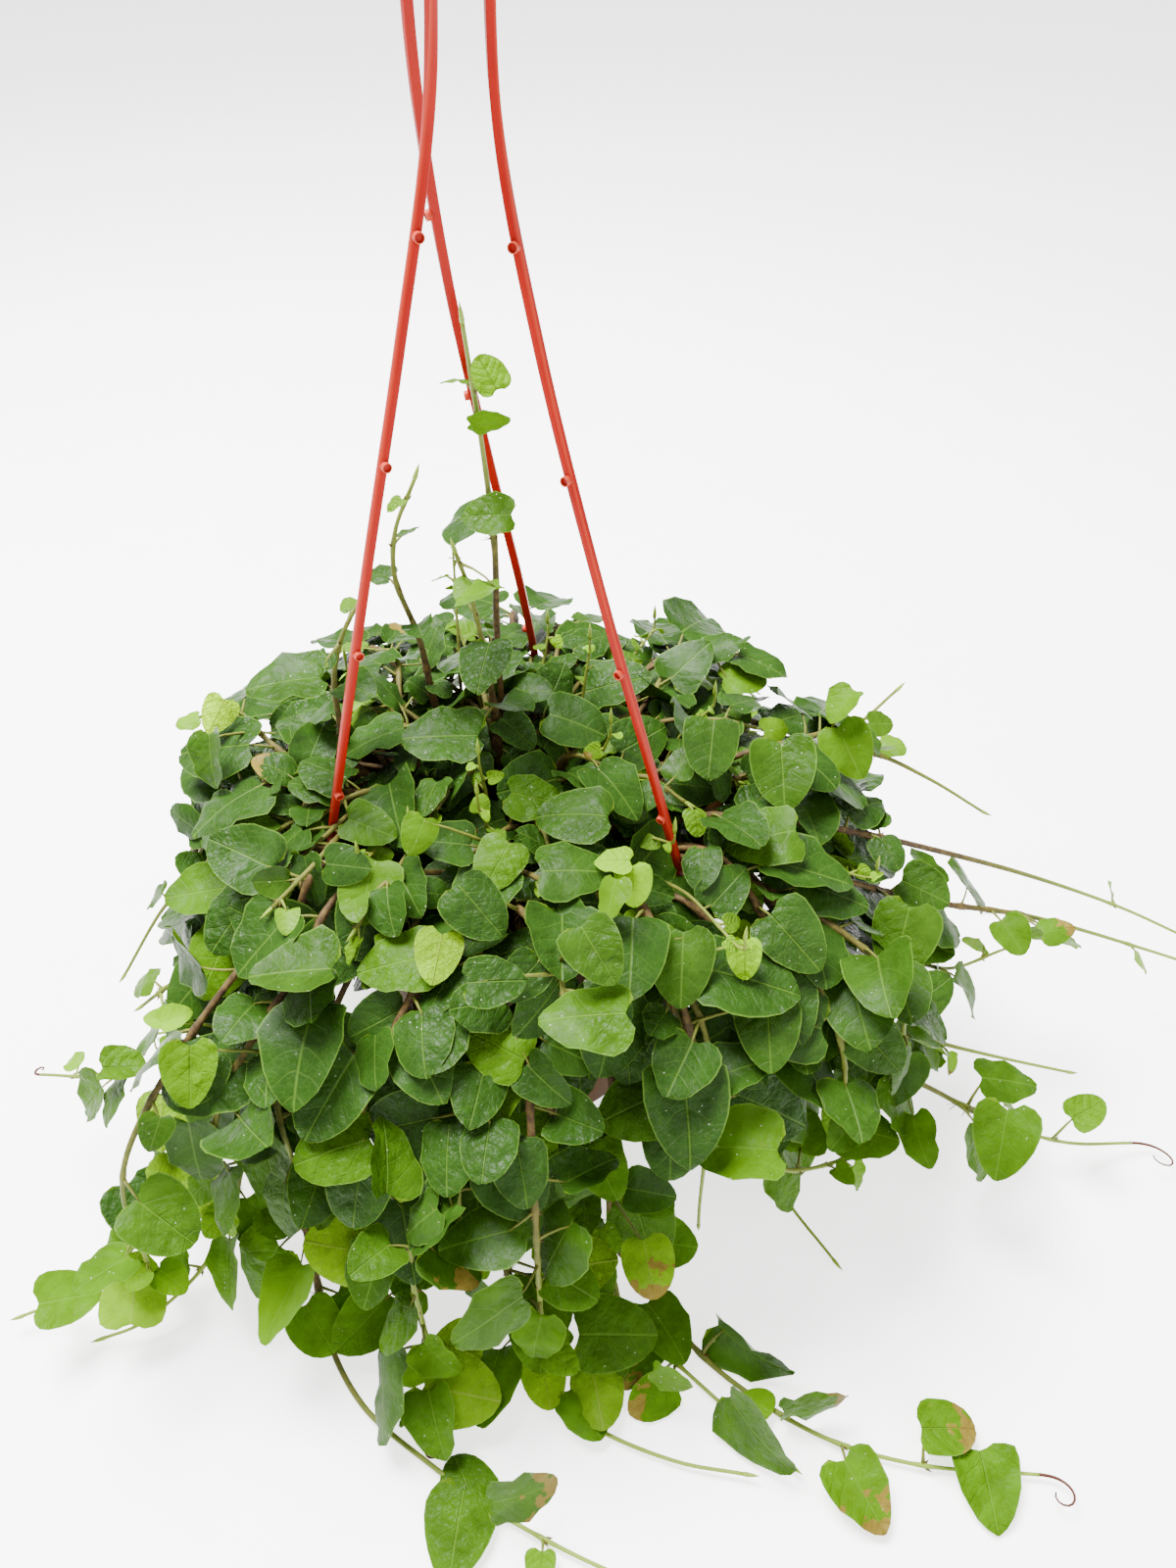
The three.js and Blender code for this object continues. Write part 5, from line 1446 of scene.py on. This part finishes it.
young = []
for i in range(len(YOUNG_SHOOTS)):
    young += first_grown(young_shoot(thicket, i, bend) for bend in YOUNG_BENDS)

# Stems that fill the low front and the right, by the points where they end
HANGING_TIPS = [
    (-108, -112, 44), (-90, -124, 30), (-78, -134, 24), (-56, -136, 28), (-41, -150, 14),
    (-2, -152, 14), (18, -156, 12), (-140, -118, 22), (30, -132, 44), (-26, -130, 36), (-68, -114, 48),
    (-100, -86, 62), (130, -90, 78), (106, -108, 70), (136, -66, 96), (84, -110, 84),
    (-122, -70, 66), (-8, -118, 62), (12, -120, 60), (-46, -116, 62), (58, -108, 88),
    (-128, -94, 52)]
HANGING_KEY = 360
# Grown leaf's length, first leaf, step and bare tip, as for the long stems
HANGING_HABIT = (25, 34, 13, 0)
HANGING_POSES = 12
HANGING = {"root": 40, "root_more": 12, "over_rim": 86, "crest": 142, "bow": 14, "bow_reach": 0.93}


def hanging_route(i, attempt):
    """Route over the rim to a given end, its root turned aside a little more at each attempt."""
    x, y, low = HANGING_TIPS[i]
    reach, turn = math.hypot(x, y), math.atan2(y, x)
    way = turn + SKIRT_RETRY * attempt * (1 if attempt % 2 else -1)
    root = HANGING["root"] + HANGING["root_more"] * spread(HANGING_KEY + i, attempt)
    bow = (HANGING["crest"] + low) / 2 + HANGING["bow"]
    return [polar(root, way, SOIL_TOP), polar(root + RISE_OUT, way, SOIL_TOP + STEM_DEPTH),
            polar(HANGING["over_rim"], way, HANGING["crest"]),
            polar(reach * HANGING["bow_reach"], turn, bow), vec(x, y, low)]


# Short shoots over the soil
CROWN_SHOOTS = 46
CROWN_KEY = 400
CROWN_SHIFT = 1.1
CROWN_HABIT = (22, 8, 11, 0)


def crown_route(i, attempt):
    """Route of a short shoot between those of the solids."""
    return top_route(i, attempt, CROWN_SHOOTS, CROWN_SHIFT)


# Stems that hang over the rim close to the pot. On the right of the front they stay off the table.
RIM_STEMS = 44
RIM_KEY = 500
RIM_HABIT = (23, 24, 12, 0)
# How far out they hang against a skirt stem: the least share, and how much more by a draw
RIM_SHRINK = (0.84, 0.2)
RIM_RIGHT = math.radians(312)
RIM_RIGHT_COS = math.cos(math.radians(38))
RIM_RIGHT_LOW = 76


def rim_route(i, attempt):
    """Route of a skirt stem with its lower half drawn in towards the pot."""
    route = skirt_route(i, attempt, RIM_STEMS, 1.0, RIM_KEY)
    shrink = RIM_SHRINK[0] + RIM_SHRINK[1] * draw(i, 17)
    right = math.cos(math.atan2(route[4][1], route[4][0]) - RIM_RIGHT) > RIM_RIGHT_COS
    low = RIM_RIGHT_LOW if right else 0
    route[3:] = [vec(p[0] * shrink, p[1] * shrink, max(p[2], low)) for p in route[3:]]
    return route


hanging = grow_group(thicket, "hanging", HANGING_KEY, HANGING_HABIT, len(HANGING_TIPS), hanging_route,
                     HANGING_POSES)
crown = grow_group(thicket, "crown", CROWN_KEY, CROWN_HABIT, CROWN_SHOOTS, crown_route)
rim = grow_group(thicket, "rim", RIM_KEY, RIM_HABIT, RIM_STEMS, rim_route)

# More leaves on the stems of the mound, wherever there is room
BETWEEN_FROM = STEM_DEPTH + 12
BETWEEN_REACH = 172
BETWEEN_LOW = 38
BETWEEN_HIGH = 178
BETWEEN_STEP = 7
BETWEEN_SIZES = (0.8, 0.58)
BETWEEN_KEY = 60
BETWEEN_POSES = 8
for size in BETWEEN_SIZES:
    for stem in stems + hanging + crown + rim:
        for index, s in enumerate(np.arange(BETWEEN_FROM, stem.length - stem.bare, BETWEEN_STEP)):
            at = stem.curve.at(s)[0]
            if math.hypot(at[0], at[1]) > BETWEEN_REACH or not BETWEEN_LOW < at[2] < BETWEEN_HIGH:
                continue
            if any(abs(leaf["s"] - s) < BETWEEN_STEP - 1 for leaf in stem.leaves):
                continue
            leaf = try_leaf(thicket, stem, s, BETWEEN_KEY + index, size, BETWEEN_POSES)
            if leaf is not None:
                stem.leaves.append(leaf)


def leafy_piece(name, group, *nodes):
    """The stems of a group as one piece, with the solids that it stands for."""
    shape = Shape(name, LEAFY, LEAFY_VALUES)
    for stem in group:
        add_stem(shape, stem)
    finished(shape, "foliage", *nodes)


for stem in stems:
    leafy_piece(f"leafy_{stem.name}", [stem], f"stem_{stem.name}")
leafy_piece("young_shoots", young)
leafy_piece("hanging_stems", hanging)
leafy_piece("crown_shoots", crown)
leafy_piece("rim_stems", rim)


# Pot and soil
POT_SIDES = 96
POT_ROUND = 0.7
HOLE_SIDES = 24
POT_CREASE = math.radians(35)
SOIL_SIDES = 84
SOIL_RINGS = 26
SOIL_GAP = 3 * FIT_GAP
SOIL_WAVES = 9


def pot_piece():
    """The pot: its wall's profile with rounded edges carried round the axis, then the drain holes and
    the hanger's slots cut out."""
    under_lip = POT_HEIGHT - WALL
    profile = rounded([
        (0, 0), (BASE_R, 0), (WALL_R, under_lip), (LIP_R - WALL, under_lip),
        (LIP_R - WALL, POT_HEIGHT - LIP_DROP), (LIP_R, POT_HEIGHT - LIP_DROP), (LIP_R, POT_HEIGHT),
        (WALL_R - WALL, POT_HEIGHT), (BASE_R - WALL, WALL), (0, WALL)], POT_ROUND)
    shape = Shape("flower_pot", [POT_PLASTIC])
    shape.add(*lathe(profile, POT_SIDES))
    pot = finished(shape, "pot_plastic", "pot")
    cutter = Shape("pot_cutter", [POT_PLASTIC])
    for i in range(DRAIN_HOLES):
        at = polar(DRAIN_CIRCLE, (i + 0.5) * 2 * math.pi / DRAIN_HOLES, 0)
        line = at + np.outer([-1, WALL + 1], vec(0, 0, 1))
        cutter.add(*tube(line, [DRAIN_R, DRAIN_R], HOLE_SIDES))
    for _, foot, _, _ in ARMS:
        turn = math.radians(foot)
        line = polar(FOOT_CIRCLE, turn, POT_HEIGHT) + np.outer([-2 * WALL, 2 * WALL], vec(0, 0, 1))
        cutter.add(*tube(line, np.full(2, SLOT / math.sqrt(2)), 4, polar(1, turn + math.pi / 4, 0)))
    tool = cutter.make()
    cut = pot.modifiers.new("holes", "BOOLEAN")
    cut.object, cut.operation, cut.solver = tool, "DIFFERENCE", "EXACT"
    made = bpy.data.meshes.new_from_object(pot.evaluated_get(bpy.context.evaluated_depsgraph_get()))
    pot.modifiers.clear()
    pot.data = made
    bpy.data.objects.remove(tool)
    made.set_sharp_from_angle(angle=POT_CREASE)


def soil_piece():
    """The compost: rings round the axis under a lumpy top, whose height is a sum of sines that
    die out at the wall."""
    inner = BASE_R - WALL - SOIL_GAP
    top = BASE_R + (WALL_R - BASE_R) * SOIL_TOP / (POT_HEIGHT - WALL) - WALL - SOIL_GAP
    low = WALL + FIT_GAP
    radii = np.linspace(top, 1.5, SOIL_RINGS)
    profile = [(0, low), (inner, low)] + [(r, SOIL_TOP) for r in radii] + [(0, SOIL_TOP)]
    points, faces = lathe(profile, SOIL_SIDES)
    x, y, z = points.T
    lumps = np.zeros(len(x))
    for k in range(SOIL_WAVES):
        size, turn, start = 5 + 14 * draw(k, 601), 2 * math.pi * draw(k, 602), 6 * draw(k, 603)
        lumps += (0.25 + size / 22) * np.sin((x * math.cos(turn) + y * math.sin(turn)) * 6 / size + start)
    rise = np.where(z > SOIL_TOP - 1, smooth(top - np.hypot(x, y), 0, 6), 0)
    points[:, 2] = z + rise * (lumps - 0.6)
    shape = Shape("potting_soil", [PEAT])
    shape.add(points, faces)
    finished(shape, "potting_soil", "soil")


# Hanger
ARM_STEP = 2.5
# Section of the bar seen along it, in shares of its half width and half depth: a flat inner face, and
# outer edges cut back on both sides
ARM_SECTION = np.array([(-1, -0.8), (-0.85, -1), (0.85, -1), (1, -0.8), (1, 0.1), (0.9, 0.35),
                        (0.5, 0.95), (0.38, 1), (-0.38, 1), (-0.5, 0.95), (-0.9, 0.35), (-1, 0.1)])
# The moulded bar is this much slimmer on each side than its solid
ARM_TRIM = np.array([0.25, 0.1])
# How much painted highlight each corner of the section gets: the outer face's edges, where the light
# would catch them
ARM_HIGHLIGHT = np.array([0, 0, 0, 0, 0, 0, 0.3, 0, 0, 0.3, 0, 0])
# A peg is a cup: its radius, how far it stands out, its root in the bar, its rim and its depth
PEG_R = 1.5
PEG_PROUD = 1.3
PEG_ROOT = 0.5
PEG_RIM = 0.35
PEG_DEEP = 0.7
PEG_SIDES = 20
PLUG_DOWN = 5
PLUG_TIP_R = 1.2
PLUG_SIDES = 12
ARM_CREASE = math.radians(28)


def arm_piece(name, foot, peg_side, points):
    """An arm: its section carried from the toe on the lip up the bow to the hub, a plug through the
    lip's slot, and cup-ended pegs on one side."""
    turn = math.radians(foot)
    heel = polar(FOOT_CIRCLE, turn, POT_HEIGHT + FIT_GAP + ARM_DEPTH / 2)
    bow = [vec(x, y, POT_HEIGHT + z) for x, y, z in points]
    bow[-1] = bow[-1] - vec(0, 0, FIT_GAP)
    curve = Curve([heel] + bow)
    radial, up = polar(1, turn, 0), vec(0, 0, 1)
    flank = np.cross(radial, up)
    s = np.arange(ARM_STEP, curve.length, ARM_STEP)
    s = np.append(s[s < curve.length - 1], curve.length)
    at, way = curve.at(s), curve.way(s)
    way[-1] = up
    out = at * vec(1, 1, 0) - HUB + radial
    out = out - way * (out * way).sum(1, keepdims=True)
    out /= np.linalg.norm(out, axis=1, keepdims=True)
    side = np.cross(out, way)
    at = np.vstack([heel + radial * TOE, heel + radial * 1.5, heel, at])
    out = np.vstack([up, up, radial + up, out])
    side = np.vstack([flank, flank, flank, side])
    half = np.array([ARM_WIDTH, ARM_DEPTH]) / 2 - ARM_TRIM
    ring = (side[:, None] * (ARM_SECTION[:, 0] * half[0])[None, :, None]
            + out[:, None] * (ARM_SECTION[:, 1] * half[1])[None, :, None])
    body = np.vstack([(at[:, None] + ring).reshape(-1, 3), at[:1], at[-1:]])
    shape = Shape(f"fine_{name}", [HANGER_PLASTIC], ("painted_highlight",))
    blend = np.append(np.tile(ARM_HIGHLIGHT, len(at)), (0, 0))[:, None]
    shape.add(body, closed_faces(len(at), len(ARM_SECTION)), values=blend)
    plug = [vec(heel[0], heel[1], z)
            for z in (POT_HEIGHT - PLUG_DOWN, POT_HEIGHT - PLUG_DOWN + 0.6, heel[2] - 0.8)]
    shape.add(*tube(np.array(plug), [PLUG_TIP_R, half[0], half[0]], PLUG_SIDES))
    sign = -1 if peg_side == "left" else 1
    for k in range(NUBS):
        place = NUB_FIRST + k * NUB_PITCH
        i = int(np.argmin(np.abs(s - place))) + 3
        face = side[i] * sign
        start = at[i] + face * (half[0] - PEG_ROOT) - out[i] * half[1] * 0.3
        end = PEG_ROOT + PEG_PROUD
        line = start + np.outer([0, end, end, end - PEG_DEEP], face)
        radii = [PEG_R, PEG_R * 0.94, PEG_R - PEG_RIM, PEG_R - PEG_RIM]
        # The peg's rim gets a painted highlight
        lit = np.append(np.repeat((0, 0.5, 0.6, 0), PEG_SIDES), (0, 0))[:, None]
        shape.add(*peg(line, radii, face, out[i], PEG_SIDES), values=lit)
    arm = finished(shape, "hanger_plastic", name)
    arm.data.set_sharp_from_angle(angle=ARM_CREASE)


def peg(line, radii, axis, across, sides):
    """A closed cup: rings of given radii at points of a line, all square to one axis."""
    n = unit(across - axis * (across @ axis))
    b = np.cross(axis, n)
    a = np.arange(sides) * 2 * math.pi / sides
    ring = np.outer(np.cos(a), n) + np.outer(np.sin(a), b)
    points = line[:, None] + ring[None] * np.array(radii)[:, None, None]
    return np.vstack([points.reshape(-1, 3), line[:1], line[-1:]]), closed_faces(len(line), sides)


HUB_NECK = 3.5
HUB_SIDES = 48
HOOK_SIDES = 20
HOOK_RINGS = 64
# The loop's turns in degrees, from its foot to its free end
HOOK_TURNS = range(-75, -301, -32)
HOOK_CREASE = math.radians(40)


def hook_piece():
    """The hub, a rounded disc, and the hook: a round rod up from it and three quarters round a loop,
    ending in a half ball."""
    low = POT_HEIGHT + HUB_RISE
    top = low + HUB_THICK
    profile = rounded([(0, low), (HUB_R, low), (HUB_R, top), (HOOK_ROD_R * 2.6, top),
                       (HOOK_ROD_R * 1.2, top + HUB_NECK), (0, top + HUB_NECK)], 1.4, 5)
    points, faces = lathe(profile, HUB_SIDES)
    shape = Shape("fine_hanger_hook", [HANGER_PLASTIC])
    shape.add(points + HUB, faces)
    loop = HOOK_INNER_R + HOOK_ROD_R
    centre = HUB + vec(0, 0, top + HOOK_SHANK + loop)
    route = [HUB + vec(0, 0, top - HOOK_ROD_R), HUB + vec(0, 0, top + HOOK_SHANK / 2)]
    for angle in HOOK_TURNS:
        a = math.radians(angle)
        route.append(centre + vec(math.cos(a), 0, math.sin(a)) * loop)
    curve = Curve(route)
    s = np.linspace(0, curve.length, HOOK_RINGS)
    s = np.concatenate([s[:-1], curve.length - HOOK_ROD_R * (1 - np.sin(np.linspace(0, 1.4, 5)))])
    s = np.unique(s)
    over = ((s - (curve.length - HOOK_ROD_R)) / HOOK_ROD_R).clip(0, 0.985)
    radii = HOOK_ROD_R * np.sqrt(1 - over ** 2)
    shape.add(*tube(curve.at(s), radii, HOOK_SIDES, vec(0, 1, 0)))
    hook = finished(shape, "hanger_plastic", "hanger_hook")
    hook.data.set_sharp_from_angle(angle=HOOK_CREASE)


pot_piece()
soil_piece()
for arm in ARMS:
    arm_piece(*arm)
hook_piece()

# Table and light
TABLE_HALF = 6000
TABLE_GAP = 0.3


def table_material():
    """Matt white paint, lit from within: to the eye an even bright ground that lights the leaves from
    below, with soft clouds that hardly show."""
    paint = Finish("white_table", Roughness=0.6, Specular_IOR_Level=0.2,
                   Emission_Color=(1, 1, 1, 1), Emission_Strength=2.0)
    return paint.link(Base_Color=paint.mix(paint.noise(40, 2.0), linear("f6f6f5"), linear("ffffff")))


table = Shape("table_top", [table_material()])
corners = np.array([(-1, -1, 0), (1, -1, 0), (1, 1, 0), (-1, 1, 0)]) * TABLE_HALF - vec(0, 0, TABLE_GAP)
table.add(corners, np.array([[0, 1, 2, 3]]))
floor_object = table.make()

world = bpy.data.worlds.new("studio")
world.use_nodes = True
backdrop = world.node_tree.nodes["Background"]
backdrop.inputs["Color"].default_value = linear("ffffff")
backdrop.inputs["Strength"].default_value = 0.95
bpy.context.scene.world = world

# Two softboxes: a window over the plant's back, and a weak fill from the front
LIGHT_AIM = (0, 0, 0.1)


def softbox(name, at, size, power):
    """A square area light at a place in metres, its face turned towards the plant's foot."""
    lamp = bpy.data.lights.new(name, "AREA")
    lamp.size = size
    lamp.energy = power
    box = bpy.data.objects.new(name, lamp)
    box.location = at
    away = unit(vec(*at) - vec(*LIGHT_AIM))
    box.rotation_euler = (math.acos(away[2]), 0, math.atan2(away[0], -away[1]))
    bpy.context.scene.collection.objects.link(box)


softbox("window", (-0.32, 0.3, 1.3), 0.7, 118)
softbox("fill", (0.5, -0.9, 1.0), 1.2, 16)
